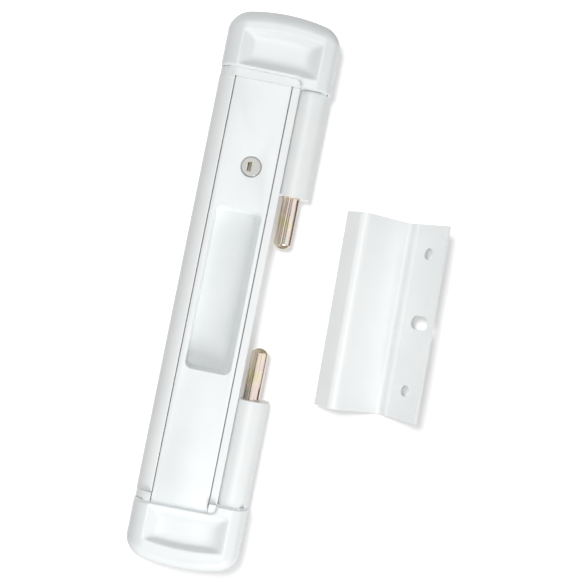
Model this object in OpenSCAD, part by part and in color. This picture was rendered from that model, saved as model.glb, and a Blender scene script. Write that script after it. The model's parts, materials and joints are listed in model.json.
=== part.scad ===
// Surface mounted double-bolt lock for a sliding patio door, with its keeper.
// Millimetres. +Z runs up the door, the front faces -Y and the back lies on the door at y = 0.
// Depths below are measured forward from the door face, so depth d is y = -d.
// The model stands locked: both bolts are out and the slide is down.

/* [Body] */
// Length over both end caps
overall_len = 304.8; // [280:0.2:340]
// Length of each end cap
cap_len = 38; // [36:0.1:42]
// Depth of the rails' front edge
face_d = 20.5; // [19:0.1:23]
// Thickness of the body's floor
floor_t = 2.2; // [1.6:0.1:2.4]
// Width of the rounded left rail
rail_w = 9.1; // [8.6:0.1:10]
// Radius of the left rail's outer edge
rail_r = 8.6; // [6:0.1:9]
// Wall round the left rail's hollow
rail_wall = 2.2; // [1.4:0.1:2.6]
// Width of the lip right of the slide
lip_w = 4.3; // [3:0.1:4.6]
// Thickness of that lip
lip_t = 3; // [2:0.1:3.4]
// Thickness of the wall under the lip
side_wall = 2.6; // [2.2:0.1:3]
// Outer radius of the bolt housings
housing_r = 10.1; // [9.4:0.1:10.8]
// Length of each bolt housing
housing_len = 57.9; // [54:0.1:64]
// Depth of the tapped holes for the end blocks' screws
port_depth = 12; // [8:0.5:16]

/* [Slide] */
// Width of the slide plate
plate_w = 30.8; // [29:0.1:34]
// Thickness of the slide plate
plate_t = 2.2; // [1.6:0.1:2.6]
// Gap on each side of the slide plate
plate_gap = 0.4; // [0.4:0.1:0.8]
// Thickness of the slide's side skirts
skirt_t = 2; // [1.4:0.1:2.4]
// How far the skirts reach below the plate
skirt_h = 3.8; // [3:0.1:4.4]
// Thickness of the guide tongues on the skirts
tongue_t = 1.8; // [1.2:0.1:2]
// How far the tongues reach into the rails
tongue_reach = 1.2; // [0.9:0.1:1.4]
// Clearance round a sliding face
slide_clear = 0.3; // [0.2:0.05:0.4]
// How far the slide and the bolts travel
travel = 27; // [24:0.5:27.5]
// How far the slide's upper end stays covered by the end block
slide_cover = 1.8; // [1:0.1:2.4]
// Distance of the slide's lower end from the end of the lower cap
slide_end_gap = 6.6; // [5:0.1:8]

/* [Finger recess] */
// Width of the recess at the front
recess_w = 25; // [22:0.2:25.4]
// Length of the recess at the front
recess_len = 89.5; // [80:0.5:94]
// Depth of the recess
recess_depth = 9; // [7:0.1:9.4]
// Height of the recess centre above mid length
recess_z = -0.4; // [-3:0.1:3]
// Distance of the recess centre from the plate's centre line
recess_shift = 0.5; // [-0.2:0.1:0.6]
// Slope of the left wall, as its width seen from the front
recess_left_run = 0.8; // [0.4:0.1:2]
// Slope of the right wall
recess_right_run = 4; // [2:0.1:5]
// Slope of the end walls
recess_end_run = 1.8; // [1:0.1:4]
// Corner radius of the recess at the front
recess_r = 4; // [2.5:0.1:6]
// Corner radius of the recess floor
recess_floor_r = 3; // [1.5:0.1:4]
// Wall of the tub behind the recess
tub_wall = 1.8; // [1.2:0.1:2]

/* [Bolts] */
// Diameter of the bolts
bolt_d = 9.525; // [8.5:0.025:10]
// Length of bolt in the open when locked
bolt_reach = 28.7; // [28:0.1:32]
// Gap between the bolts and the side wall
bolt_gap = 3.64; // [2:0.01:5]
// Room left behind a bolt that is drawn back
bolt_end_gap = 1.6; // [1:0.1:4]
// Depth of the bolts' axis
bolt_depth = 9.2; // [8.8:0.1:9.8]
// Radius of the domed tip
tip_r = 5.6; // [5.2:0.1:9]
// Radial running clearance of a bolt in its housing
bore_clear = 0.06; // [0.03:0.01:0.1]
// Chamfer at the mouth of each housing bore
mouth_chamfer = 0.8; // [0.4:0.1:1.2]
// Radius of the drive studs
stud_r = 2.5; // [2:0.1:2.8]
// Clearance of a stud in its threaded seat
seat_clear = 0.04; // [0.02:0.01:0.1]
// Distance of the stud from the bolt's inner end
stud_inset = 7; // [6:0.1:8]
// How far a stud reaches past the bolt's axis
stud_past = 2.6; // [1:0.1:3]
// Clearance round a stud in the slot of the side wall
slot_clear = 0.5; // [0.3:0.1:0.8]
// Radius of a stud's head
stud_head_r = 3.6; // [3.2:0.1:3.8]
// Thickness of a stud's head
stud_head_t = 2.2; // [1.6:0.1:2.4]
// Thickness of the lugs that hold the studs
lug_t = 3; // [2.4:0.1:3.2]
// Length of the lugs along the slide
lug_len = 11; // [9:0.5:12]

/* [Gearing] */
// Module of the pinion and the racks
gear_module = 1; // [0.9:0.05:1.05]
// Number of teeth on the pinion
pinion_teeth = 12; // [12:1:13]
// Pressure angle of the teeth
pressure_angle = 25; // [24:0.5:26]
// Play between the teeth
backlash = 0.3; // [0.2:0.05:0.4]
// Thickness of the racks
rack_t = 5; // [4:0.1:5.2]
// Gap between the racks and the floor
rack_lift = 0.4; // [0.3:0.05:0.6]
// Distance of the lower rack from the slide's right edge
rack_side_gap = 1.25; // [1:0.05:1.5]
// Height of the pinion above the lower drive stud
pinion_rise = 12.8; // [12:0.1:16]
// Radius of the pinion's axle
axle_r = 2; // [1.6:0.1:2.4]
// Radial running clearance of the pinion on its axle
axle_clear = 0.05; // [0.03:0.01:0.1]
// Width of the slide rack behind its teeth
slide_rack_back = 5.2; // [4.6:0.1:5.6]
// Width of the lower rack behind its teeth
lower_rack_back = 3.3; // [2.6:0.1:3.4]
// Radius of the slide's bosses that carry its rack
rack_boss_r = 2.4; // [2:0.1:2.6]
// Wall of the rack guide
guide_wall = 1.3; // [1:0.1:1.3]
// Length of the rack guide
guide_len = 6; // [4:0.5:7]
// Gap between the rack guide and the pinion's teeth
guide_gap = 1.6; // [1:0.1:2]

/* [Key cylinder] */
// Distance of the key cylinder from the plate's centre line
key_shift = 2.2; // [0:0.1:2.4]
// Height of the key cylinder above the recess
key_rise = 23.35; // [20:0.05:26]
// Radius of the hole in the slide plate
key_hole_r = 5.7; // [5.4:0.05:6]
// Radius of the plug's face
plug_face_r = 5.1; // [4.9:0.05:5.2]
// How far the plug's face lies behind the plate's front
plug_sink = 0.2; // [0:0.05:0.6]
// Radius of the plug's body
plug_r = 4.5; // [4.2:0.05:4.6]
// Radial running clearance of the plug in its shell
plug_clear = 0.06; // [0.03:0.01:0.1]
// Width of the keyway
keyway_w = 2; // [1.6:0.1:2.4]
// Height of the keyway
keyway_h = 5; // [4:0.1:5.4]
// Distance of the keyway from the plug's axis
keyway_shift = 1; // [0.6:0.1:1.2]
// Wall of the cylinder's shell
shell_wall = 1.9; // [1.5:0.1:2.1]
// Gap between the cam's screw and the floor
cam_floor_gap = 1.8; // [0.8:0.1:2.4]
// Solid length of the plug behind its keyway
plug_web = 3.6; // [3:0.1:4.4]
// Thickness of the shell's ears
ear_t = 2.4; // [1.8:0.1:2.6]
// Distance of the ear screws from the key cylinder's axis
ear_reach = 10.2; // [9.8:0.1:10.6]
// Radius of the ears and their bosses
ear_r = 2.8; // [2.4:0.1:3]
// Thickness of one wafer tumbler
wafer_t = 1; // [0.8:0.05:1.1]
// Spacing of the wafer tumblers
wafer_pitch = 1.6; // [1.5:0.05:1.7]
// Wall of the plug beside the wafer tumblers
wafer_wall = 1.5; // [1.2:0.1:1.8]
// Distance of a wafer's corners from the plug's edge
wafer_inset = 0.25; // [0.1:0.05:0.5]
// Play of a wafer in its slot
wafer_clear = 0.1; // [0.05:0.01:0.15]
// Length of the lock cam from its axis
cam_len = 12; // [11:0.2:12.6]
// Radius of the cam's hub
cam_hub_r = 3.6; // [3:0.1:4]
// Half width of the cam's arm
cam_arm_r = 2.6; // [2:0.1:2.8]
// Thickness of the cam
cam_t = 2; // [1.6:0.1:2.2]
// Gap between the cam and the shell
cam_gap = 0.2; // [0.1:0.05:0.3]
// Radius of the cam stop post
stop_r = 2.5; // [2:0.1:2.8]
// Gap between the turned cam and its stop
stop_gap = 0.7; // [0.4:0.1:1]

/* [Friction spring] */
// Width of the leaf spring
spring_w = 8; // [6:0.5:9]
// Thickness of the leaf
spring_t = 0.6; // [0.4:0.05:0.8]
// Span of the leaf's bow
spring_span = 50; // [44:1:52]
// Height of the bow's crest above mid length
spring_z = 6; // [5:0.5:9]
// Length of each flat foot
spring_foot = 6; // [5:0.5:6.5]

/* [End blocks and caps] */
// Width of the band that shows between cap and rail
band_w = 4.4; // [3.8:0.1:5]
// How far the band stands above the rails' front
band_rise = 2; // [1.4:0.1:2.6]
// Radius of the band's left edge
band_r = 10.1; // [8:0.1:10.6]
// How far the band lies inside the caps' sides
band_inset = 0.3; // [0.1:0.1:0.6]
// Thickness of the end block's wall along the lock
block_wall = 7; // [6.5:0.1:8]
// How far the caps stand above the rails' front
cap_rise = 5.3; // [4.9:0.1:6.4]
// Wall of the caps
cap_wall = 1.8; // [1.5:0.1:2]
// Radius of the caps' left edge
cap_left_r = 10.6; // [9:0.1:11.4]
// Radius of the caps' right edge
cap_right_r = 9.5; // [8:0.1:10.4]
// Radius of the caps' outer end edge
cap_end_r = 8; // [7:0.1:8.6]
// Radius of the arch of the caps' outer end
arch_r = 100; // [90:1:160]
// Corner radius where a cap steps down to the housing
notch_r = 3.5; // [2:0.1:3.8]
// Width of the flat lip between dish and band
dish_lip = 1.2; // [1:0.1:2.5]
// Width of the dish in a cap
dish_w = 42; // [36:0.5:44]
// Length of the dish at its middle
dish_len = 20.3; // [17:0.1:21.5]
// How much shorter the dish is at its sides
dish_arch = 1.8; // [1:0.1:5]
// Depth of the dish
dish_depth = 3.4; // [2:0.1:3.6]
// Slope of the dish's walls, as their width seen from the front
dish_run = 5; // [3:0.1:6]
// Corner radius of the dish
dish_r = 1.5; // [1:0.1:3]

/* [Fasteners and mounting] */
// Radius of the four tapped mounting holes
mount_hole_r = 2.1; // [1.8:0.05:2.3]
// Distance of the cap screws from the lock's ends
cap_screw_inset = 12; // [11:0.1:13]
// Distance of the mounting holes from the cap screws
mount_pitch = 9.4; // [9:0.1:11]
// Height of the mounting posts
mount_post_h = 12; // [8:0.5:12.5]
// Radius of the right mounting posts
mount_post_r = 5; // [4.5:0.1:6]
// Shank radius of the small screws
screw_r = 1.3; // [1.1:0.05:1.4]
// Head radius of the small screws
screw_head_r = 2.3; // [2:0.05:2.4]
// Head thickness of the small screws
screw_head_t = 1.5; // [1:0.1:1.6]
// Clearance of a screw in its hole
screw_clear = 0.04; // [0.02:0.01:0.1]
// Radius of the bosses inside the caps
cap_boss_r = 2.6; // [2.3:0.1:2.8]
// Depth that the cap screws reach
cap_screw_d = 10; // [8:0.5:12]

/* [Keeper] */
// Length of the keeper
keeper_len = 108.2; // [100:0.2:110]
// Width of the web
keeper_web = 34.4; // [30:0.2:38]
// Width of the hook flange
keeper_hook = 13.9; // [11:0.1:15]
// Width of the mounting flange
keeper_flange = 30; // [28:0.2:34]
// Thickness of the keeper
keeper_t = 2.3; // [1.8:0.1:2.8]
// Inner radius of the bend at the hook
hook_bend_r = 2.4; // [1.5:0.1:3.5]
// Inner radius of the bend at the mounting flange
flange_bend_r = 3.2; // [1.5:0.1:4]
// Height of the bead along the root of the mounting flange
bead_h = 0.7; // [0.3:0.1:1]
// Width of that bead
bead_w = 4.6; // [3:0.1:6]
// Distance of the bead from the web
bead_place = 3.4; // [3:0.1:6]
// Radius of the two round holes
keeper_hole_r = 3.2; // [2.4:0.1:3.6]
// Spacing of the round holes
keeper_hole_pitch = 76; // [70:0.5:80]
// Distance of the holes from the edge of the mounting flange
keeper_hole_edge = 11; // [9:0.1:13]
// Width of the middle slot
keeper_slot_w = 7.6; // [6:0.1:8.4]
// Length of the middle slot across the flange
keeper_slot_l = 12.6; // [11:0.1:14]
// Distance of the slot's centre from the edge of the mounting flange
keeper_slot_edge = 9.2; // [8.6:0.1:10]
// How far the web slopes as the keeper stands beside the lock
keeper_roll = 36.5; // [30:0.5:45]
// Lean of the keeper against the lock's length
keeper_lean = 1.4; // [0:0.1:3]
// Place of the keeper's ridge across
keeper_x = 63.3; // [62:0.1:80]
// Gap between the keeper's lowest edge and the door plane
keeper_lift = 0.1; // [0:0.1:4]
// Height of the keeper's middle above mid length
keeper_z = 2; // [-4:0.1:4]

/* [Hidden] */
$fn = 64;
HULL_FN = 32;
EPS = 0.01;
BIG = 60;

bolt_r = bolt_d / 2;
body_w = rail_w + 2 * plate_gap + plate_w + side_wall + bolt_gap + bolt_r + housing_r;
body_left = -body_w / 2;
body_right = body_w / 2;
lock_top = overall_len / 2;
body_top = lock_top - cap_len;
housing_in = body_top - housing_len;
rail_in = body_left + rail_w;
rail_round = min(rail_r, rail_w - 0.3);
plate_left = rail_in + plate_gap;
plate_right = plate_left + plate_w;
plate_x = (plate_left + plate_right) / 2;
wall_in = plate_right + plate_gap;
wall_out = wall_in + side_wall;
lip_out = wall_in + lip_w;
bolt_x = body_right - housing_r;

// Slide
plate_back = face_d - plate_t;
skirt_back = plate_back - skirt_h;
tongue_front = skirt_back + tongue_t;
groove_reach = tongue_reach - plate_gap + slide_clear;
slide_top = body_top + slide_cover;
slide_bottom = -(lock_top - slide_end_gap);
tongue_top = body_top - travel - slide_cover;
tongue_bottom = -(body_top - slide_cover);

// Finger recess
recess_floor_d = face_d - recess_depth;
tub_back = recess_floor_d - tub_wall;
recess_left = plate_x + recess_shift - recess_w / 2;
recess_right = recess_left + recess_w;
recess_top = recess_z + recess_len / 2;
recess_bottom = recess_z - recess_len / 2;

// Bolts and studs
bolt_tip = housing_in - bolt_reach;
bolt_tail = body_top - travel - bolt_end_gap;
stud_z = bolt_tail - stud_inset;
slot_half = stud_r + slot_clear;

// Gearing
pitch_r = gear_module * pinion_teeth / 2;
tooth_pitch = PI * gear_module;
addendum = gear_module;
pinion_addendum = 0.9 * gear_module;
dedendum = 1.25 * gear_module;
rack_back_d = floor_t + rack_lift;
rack_front_d = rack_back_d + rack_t;
lower_rack_side = plate_right - rack_side_gap;
lower_rack_root = lower_rack_side - lower_rack_back;
pinion_x = lower_rack_root - dedendum - pitch_r;
slide_rack_root = pinion_x - pitch_r - dedendum;
pinion_z = -stud_z + pinion_rise;
teeth_past = 2;
teeth_moved = ceil(travel / tooth_pitch) + teeth_past + 1;
slide_rack_low = pinion_z - teeth_moved * tooth_pitch;
slide_rack_high = pinion_z + (teeth_past + 1) * tooth_pitch;
lower_rack_low = -stud_z - lug_len / 2;
lower_rack_high = pinion_z + teeth_moved * tooth_pitch;
rack_boss_x = slide_rack_root - slide_rack_back / 2;
rack_boss_z = [slide_rack_low + 2 * rack_boss_r, slide_rack_high - 2 * rack_boss_r];
lug_wall = 1.6;
lug_half_d = stud_r + lug_wall;
guide_z0 = pinion_z + pitch_r + pinion_addendum + guide_gap;
guide_leg_x = pinion_x + pitch_r - addendum - slide_clear - guide_wall;
guide_foot = 5;
guide_foot_x = guide_leg_x - guide_foot / 2;
guide_front_d = rack_front_d + slide_clear + guide_wall;
clip_t = 0.8;
clip_gap = 0.2;
rivet_head_t = 0.8;
rivet_head_r = 1.9;

// Key cylinder
key_x = plate_x + key_shift;
key_z = recess_top + key_rise;
plug_face_d = face_d - plug_sink;
cam_back_d = floor_t + cam_floor_gap + screw_head_t;
cam_front_d = cam_back_d + cam_t;
shell_back = cam_front_d + cam_gap;
shell_r = plug_r + plug_clear + shell_wall;
ear_boss_h = 3.3;
ear_front_d = plate_back - ear_boss_h;
keyway_back_d = cam_front_d + plug_web;
wafer_w = 2 * (plug_r - wafer_wall);
wafer_h = 2 * (sqrt(pow(plug_r, 2) - pow(wafer_w / 2, 2)) - wafer_inset);
wafer_count = floor((plate_back - keyway_back_d - wafer_clear) / wafer_pitch);
stop_x = key_x - cam_len + stop_r;
stop_z = key_z + cam_arm_r + stop_gap + stop_r;

// Friction spring
spring_rise = tub_back - slide_clear - floor_t;
spring_bow_r = (pow(spring_span / 2, 2) + pow(spring_rise, 2)) / (2 * spring_rise);
spring_side = 1.5;
spring_x0 = plate_x - spring_w - spring_side;
spring_foot_z = spring_z - spring_span / 2 - spring_foot / 2;

// End blocks and caps
band_line = body_top + band_w;
band_top = face_d + band_rise;
cap_top = face_d + cap_rise;
block_line = body_top + block_wall;
block_gap = 0.3;
band_right = lip_out - block_gap;
notch_x = lip_out - block_gap / 2;
cavity_left = body_left + cap_wall;
cavity_right = body_right - cap_wall;
cavity_clear = 0.1;
cavity_top = face_d + slide_clear + cavity_clear;
cavity_step_drop = 7.5;
cavity_step_d = cap_top - cavity_step_drop;
cavity_step_in = 2.5;
cavity_end_step = 0.9;
block_top = cavity_top - block_gap;
block_left = cavity_left + block_gap;
block_right = cavity_right - block_gap;
port_inset = 4.5;
port_drop = 5.1;
port_x = body_left + port_inset;
port_d = face_d - port_drop;
port_mid_r = (bolt_r + bore_clear + housing_r) / 2;
port2_x = bolt_x + port_mid_r * cos(45);
port2_d = bolt_depth + port_mid_r * sin(45);
cap_boss_z = lock_top - cap_screw_inset;
mount_z = cap_boss_z - mount_pitch;
mount_left_x = (block_left + rail_in) / 2;
seat_wall = 0.9;
block_end = cap_boss_z + screw_head_r + seat_wall;
block_corner = 2.5;

WHITE = "#f2f4f4";
WHITE_PLASTIC = "#eceff0";
ZINC_YELLOW = "#b9a97c";
STEEL = "#a9adb1";
BRASS = "#c9a95a";
DIE_CAST = "#c4c7c9";

// Box between two values across, in depth and along the lock
module block(x0, x1, d0, d1, z0, z1) {
    translate([x0, -d1, z0]) cube([x1 - x0, d1 - d0, z1 - z0]);
}

// Round piece that points forward from the door
module post(x, z, d0, d1, r) {
    translate([x, -d0, z]) rotate([90, 0, 0]) cylinder(h = d1 - d0, r = r);
}

// Round piece along the lock
module rod(x, d, z0, z1, r) {
    translate([x, -d, z0]) cylinder(h = z1 - z0, r = r);
}

// Round piece across the lock
module cross_rod(x0, x1, d, z, r) {
    translate([x0, -d, z]) rotate([0, 90, 0]) cylinder(h = x1 - x0, r = r);
}

// Outline seen from the front, given a thickness between two depths
module front_slab(d0, d1) {
    translate([0, -d0, 0]) rotate([90, 0, 0]) linear_extrude(d1 - d0) children();
}

// Cross-section in (across, depth), run along the lock
module length_run(z0, z1) {
    translate([0, 0, z0]) linear_extrude(z1 - z0) mirror([0, 1]) children();
}

// Shape with its left or upper counterpart below mid length
module lower_side() {
    mirror([0, 0, 1]) children();
}

module rect(x0, x1, y0, y1) {
    translate([x0, y0]) square([x1 - x0, y1 - y0]);
}

// Upright strip whose upper left corner is round
module round_left(x0, x1, top, r) {
    rect(x0, x1, 0, top - r);
    rect(x0 + r, x1, 0, top);
    intersection() {
        translate([x0 + r, top - r]) circle(r);
        rect(x0, x1, 0, top);
    }
}

// Small screw that enters from the back, its head flush with the given depth
module back_screw(x, z, head_d, tip_d) {
    post(x, z, head_d, head_d + screw_head_t, screw_head_r);
    post(x, z, head_d + screw_head_t - EPS, tip_d, screw_r);
}

// Seat of such a screw, with its clearance
module back_screw_seat(x, z, head_d, tip_d) {
    post(x, z, head_d - 1, head_d + screw_head_t, screw_head_r + screw_clear);
    post(x, z, head_d, tip_d, screw_r + screw_clear);
}

// Small screw along the lock that holds an end block
module end_screw(x, d) {
    rod(x, d, block_line, block_line + screw_head_t, screw_head_r);
    rod(x, d, body_top - port_depth + screw_r, block_line + EPS, screw_r);
}

// Body extrusion
module floor_and_rail_section() {
    difference() {
        union() {
            rect(rail_in - rail_wall, wall_out, 0, floor_t);
            round_left(body_left, rail_in, face_d, rail_round);
        }
        rect(body_left + rail_wall, rail_in - rail_wall, floor_t,
             skirt_back - slide_clear - rail_wall);
        rect(rail_in - groove_reach, rail_in + EPS, skirt_back - slide_clear,
             tongue_front + slide_clear);
        translate([port_x, port_d]) circle(screw_r + screw_clear);
    }
}

module lip_section() {
    difference() {
        union() {
            rect(wall_in, wall_out, 0, face_d);
            rect(wall_in, lip_out, face_d - lip_t, face_d);
        }
        rect(wall_in - EPS, wall_in + groove_reach, skirt_back - slide_clear,
             tongue_front + slide_clear);
    }
}

module housing_section() {
    difference() {
        union() {
            intersection() {
                translate([bolt_x, bolt_depth]) circle(housing_r);
                rect(wall_out, body_right, 0, BIG);
            }
            rect(wall_out - EPS, body_right, 0, bolt_depth);
        }
        translate([bolt_x, bolt_depth]) circle(bolt_r + bore_clear);
        translate([port2_x, port2_d]) circle(screw_r + screw_clear);
    }
}

// One bolt housing with its bore mouth and the slot for the drive stud
module housing() {
    length_run(housing_in, body_top) housing_section();
}

module housing_cuts() {
    translate([bolt_x, -bolt_depth, housing_in - EPS])
        cylinder(h = mouth_chamfer, r1 = bolt_r + bore_clear + mouth_chamfer,
                 r2 = bolt_r + bore_clear);
    block(wall_in - groove_reach, bolt_x, bolt_depth - slot_half, bolt_depth + slot_half,
          stud_z - slot_half, stud_z + travel + slot_half);
}

module body_extrusion() {
    color(WHITE) difference() {
        union() {
            length_run(-body_top, body_top) floor_and_rail_section();
            length_run(-body_top, body_top) lip_section();
            housing();
            lower_side() housing();
        }
        housing_cuts();
        lower_side() housing_cuts();
        post(pinion_x, pinion_z, -1, floor_t + 1, axle_r + screw_clear);
        post(stop_x, stop_z, -1, floor_t + 1, stop_r / 2 + screw_clear);
        post(guide_foot_x, guide_z0 + guide_len / 2, -1, floor_t + 1, screw_r + screw_clear);
        post(spring_x0 + spring_w / 2, spring_foot_z, -1, floor_t + 1, screw_r + screw_clear);
    }
}

// End block: floor plate, wall across the body's end and posts for the mounting screws
module band_outline() {
    rect(-BIG, band_right - notch_r, body_top, band_line);
    rect(-BIG, band_right, body_top, band_line - notch_r);
    translate([band_right - notch_r, band_line - notch_r]) circle(notch_r);
}

module end_block() {
    difference() {
        union() {
            intersection() {
                length_run(body_top, band_line)
                    round_left(body_left + band_inset, band_right, band_top, band_r);
                front_slab(0, BIG) band_outline();
            }
            block(block_left, block_right, 0, cavity_step_d - block_gap, band_line - EPS, block_line);
            block(block_left + cavity_step_in, block_right - cavity_step_in, 0, block_top,
                  band_line - EPS, block_line);
            block(band_right - notch_r, block_right, 0, cavity_step_d - block_gap,
                  body_top, block_line);
            front_slab(0, floor_t) polygon([
                [block_left, block_line - EPS], [block_right, block_line - EPS],
                [block_right, block_end - block_corner], [block_right - block_corner, block_end],
                [block_left + block_corner, block_end], [block_left, block_end - block_corner]
            ]);
            post(mount_left_x, mount_z, 0, mount_post_h, (rail_in - block_left) / 2);
            post(bolt_x, mount_z, 0, mount_post_h, mount_post_r);
        }
        block(rail_in, wall_in, floor_t, face_d + slide_clear, body_top - 1, BIG * 4);
        post(mount_left_x, mount_z, -1, BIG, mount_hole_r);
        post(bolt_x, mount_z, -1, BIG, mount_hole_r);
        rod(port_x, port_d, body_top - 1, block_line + 1, screw_r + screw_clear);
        rod(port2_x, port2_d, body_top - 1, block_line + 1, screw_r + screw_clear);
        back_screw_seat(mount_left_x, cap_boss_z, 0, cap_screw_d);
        back_screw_seat(bolt_x, cap_boss_z, 0, cap_screw_d);
    }
}

module upper_end_block() {
    color(WHITE) end_block();
}

// The lower block leaves the slide in view between its two sides
module lower_end_block() {
    color(WHITE) difference() {
        lower_side() end_block();
        block(rail_in, wall_in, face_d, BIG, -band_line - EPS, -body_top + 1);
    }
}

module end_block_screws() {
    color(STEEL) {
        end_screw(port_x, port_d);
        end_screw(port2_x, port2_d);
        lower_side() end_screw(port_x, port_d);
        lower_side() end_screw(port2_x, port2_d);
    }
}

// End cap
function arch_z(x) = lock_top - arch_r + sqrt(pow(arch_r, 2) - pow(x, 2));
arch_steps = 8;
arch_half = body_right - cap_end_r;
function arch_x(i) = -arch_half + 2 * arch_half * i / arch_steps;

module cap_form() {
    hull() {
        length_run(body_top, body_top + 1) {
            translate([body_left + cap_left_r, cap_top - cap_left_r])
                circle(cap_left_r, $fn = HULL_FN * 2);
            translate([body_right - cap_right_r, cap_top - cap_right_r])
                circle(cap_right_r, $fn = HULL_FN * 2);
            rect(body_left, body_right, 0, 1);
        }
        for (i = [0 : arch_steps]) {
            translate([arch_x(i), -(cap_top - cap_end_r), arch_z(arch_x(i)) - cap_end_r])
                sphere(cap_end_r, $fn = HULL_FN);
            translate([arch_x(i), 0, arch_z(arch_x(i)) - cap_end_r]) rotate([90, 0, 0])
                cylinder(h = 1, r = cap_end_r, $fn = HULL_FN);
        }
    }
}

// Hollow of a cap, drawn in from its outline by the wall and a further step at the sides and end
module cap_hollow(d0, d1, step, end_step) {
    inner_r = cap_end_r - cap_wall;
    front_slab(d0, d1) hull() {
        rect(cavity_left + step, cavity_right - step, body_top - 1, body_top);
        for (i = [0 : arch_steps])
            translate([arch_x(i) * (1 - step / arch_half), arch_z(arch_x(i)) - cap_end_r - end_step])
                circle(inner_r, $fn = HULL_FN);
    }
}

// Outline of the dish at a depth, wider towards the front
module dish_ring(d) {
    inset = dish_run * (cap_top - d) / dish_depth + dish_r;
    side = dish_w / 2 - inset;
    low = band_line + dish_lip + inset;
    high = band_line + dish_lip + dish_len - inset;
    corners = [[-side, low], [side, low]];
    arch = [for (t = [-1 : 0.5 : 1]) [side * t, high - dish_arch * t * t]];
    for (p = concat(corners, arch))
        translate([p[0], -d, p[1]]) rotate([90, 0, 0]) cylinder(h = EPS, r = dish_r, $fn = HULL_FN);
}

module dish() {
    hull() {
        dish_ring(cap_top + 1);
        dish_ring(cap_top - dish_depth);
    }
}

module notch_outline() {
    rect(-BIG, notch_x - notch_r, 0, band_line);
    rect(-BIG, notch_x, 0, band_line - notch_r);
    translate([notch_x - notch_r, band_line - notch_r]) circle(notch_r);
}

module end_cap() {
    difference() {
        union() {
            difference() {
                cap_form();
                cap_hollow(-1, cavity_step_d, 0, 0);
                cap_hollow(cavity_step_d - EPS, cavity_top, cavity_step_in, cavity_end_step);
                dish();
            }
            post(mount_left_x, cap_boss_z, floor_t, cavity_step_d + 1, cap_boss_r);
            post(bolt_x, cap_boss_z, floor_t, cavity_top + EPS, cap_boss_r);
        }
        front_slab(-1, BIG) notch_outline();
        post(mount_left_x, cap_boss_z, 0, cap_screw_d, screw_r + screw_clear);
        post(bolt_x, cap_boss_z, 0, cap_screw_d, screw_r + screw_clear);
    }
}

module upper_end_cap() {
    color(WHITE_PLASTIC) end_cap();
}

module lower_end_cap() {
    color(WHITE_PLASTIC) lower_side() end_cap();
}

module cap_screws() {
    color(STEEL) for (side = [0, 1]) mirror([0, 0, side]) {
        back_screw(mount_left_x, cap_boss_z, 0, cap_screw_d - 0.5);
        back_screw(bolt_x, cap_boss_z, 0, cap_screw_d - 0.5);
    }
}

// Pieces fixed on the body's floor
module pinion_axle() {
    color(STEEL) difference() {
        post(pinion_x, pinion_z, 0, rack_front_d + clip_gap + 2 * clip_t, axle_r);
        difference() {
            post(pinion_x, pinion_z, rack_front_d + clip_gap, rack_front_d + clip_gap + clip_t,
                 axle_r + 1);
            post(pinion_x, pinion_z, 0, BIG, axle_r * 0.75);
        }
    }
}

module axle_clip() {
    inner = axle_r * 0.75 + screw_clear;
    color(STEEL) difference() {
        post(pinion_x, pinion_z, rack_front_d + clip_gap + EPS, rack_front_d + clip_gap + clip_t - EPS,
             axle_r * 2);
        post(pinion_x, pinion_z, 0, BIG, inner);
        block(pinion_x - inner, pinion_x + inner, 0, BIG, pinion_z - axle_r * 3, pinion_z);
    }
}

module cam_stop() {
    color(STEEL) {
        post(stop_x, stop_z, floor_t, cam_front_d - cam_gap, stop_r);
        post(stop_x, stop_z, 0, floor_t + EPS, stop_r / 2);
    }
}

module rack_guide() {
    mid_z = guide_z0 + guide_len / 2;
    z1 = guide_z0 + guide_len;
    right_x = lower_rack_side + slide_clear;
    color(WHITE_PLASTIC) difference() {
        union() {
            block(guide_leg_x, guide_leg_x + guide_wall, floor_t, guide_front_d, guide_z0, z1);
            block(right_x, right_x + guide_wall, floor_t, guide_front_d, guide_z0, z1);
            block(guide_leg_x, right_x + guide_wall, guide_front_d - guide_wall, guide_front_d,
                  guide_z0, z1);
            block(guide_leg_x - guide_foot, guide_leg_x + EPS, floor_t, floor_t + guide_wall,
                  guide_z0, z1);
        }
        post(guide_foot_x, mid_z, 0, BIG, screw_r + screw_clear);
    }
}

module floor_rivet(x, z, seat_d) {
    post(x, z, 0, seat_d + EPS, screw_r);
    post(x, z, seat_d, seat_d + rivet_head_t, rivet_head_r);
}

module guide_rivet() {
    color(STEEL) floor_rivet(guide_foot_x, guide_z0 + guide_len / 2, floor_t + guide_wall);
}

// Bowed leaf that bears on the back of the slide's tub
module friction_spring() {
    x1 = spring_x0 + spring_w;
    z_low = spring_z - spring_span / 2;
    z_high = spring_z + spring_span / 2;
    color(STEEL) difference() {
        union() {
            intersection() {
                translate([0, spring_bow_r - spring_rise - floor_t, spring_z]) rotate([0, 90, 0])
                    translate([0, 0, spring_x0]) difference() {
                        cylinder(h = spring_w, r = spring_bow_r, $fn = 200);
                        translate([0, 0, -1])
                            cylinder(h = spring_w + 2, r = spring_bow_r - spring_t, $fn = 200);
                    }
                block(spring_x0 - 1, x1 + 1, floor_t, BIG, z_low - 1, z_high + 1);
            }
            block(spring_x0, x1, floor_t, floor_t + spring_t, z_low - spring_foot, z_low + spring_t);
            block(spring_x0, x1, floor_t, floor_t + spring_t, z_high - spring_t, z_high + spring_foot);
        }
        post(spring_x0 + spring_w / 2, spring_foot_z, 0, BIG, screw_r + screw_clear);
    }
}

module spring_rivet() {
    color(STEEL) floor_rivet(spring_x0 + spring_w / 2, spring_foot_z, floor_t + spring_t);
}

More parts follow.
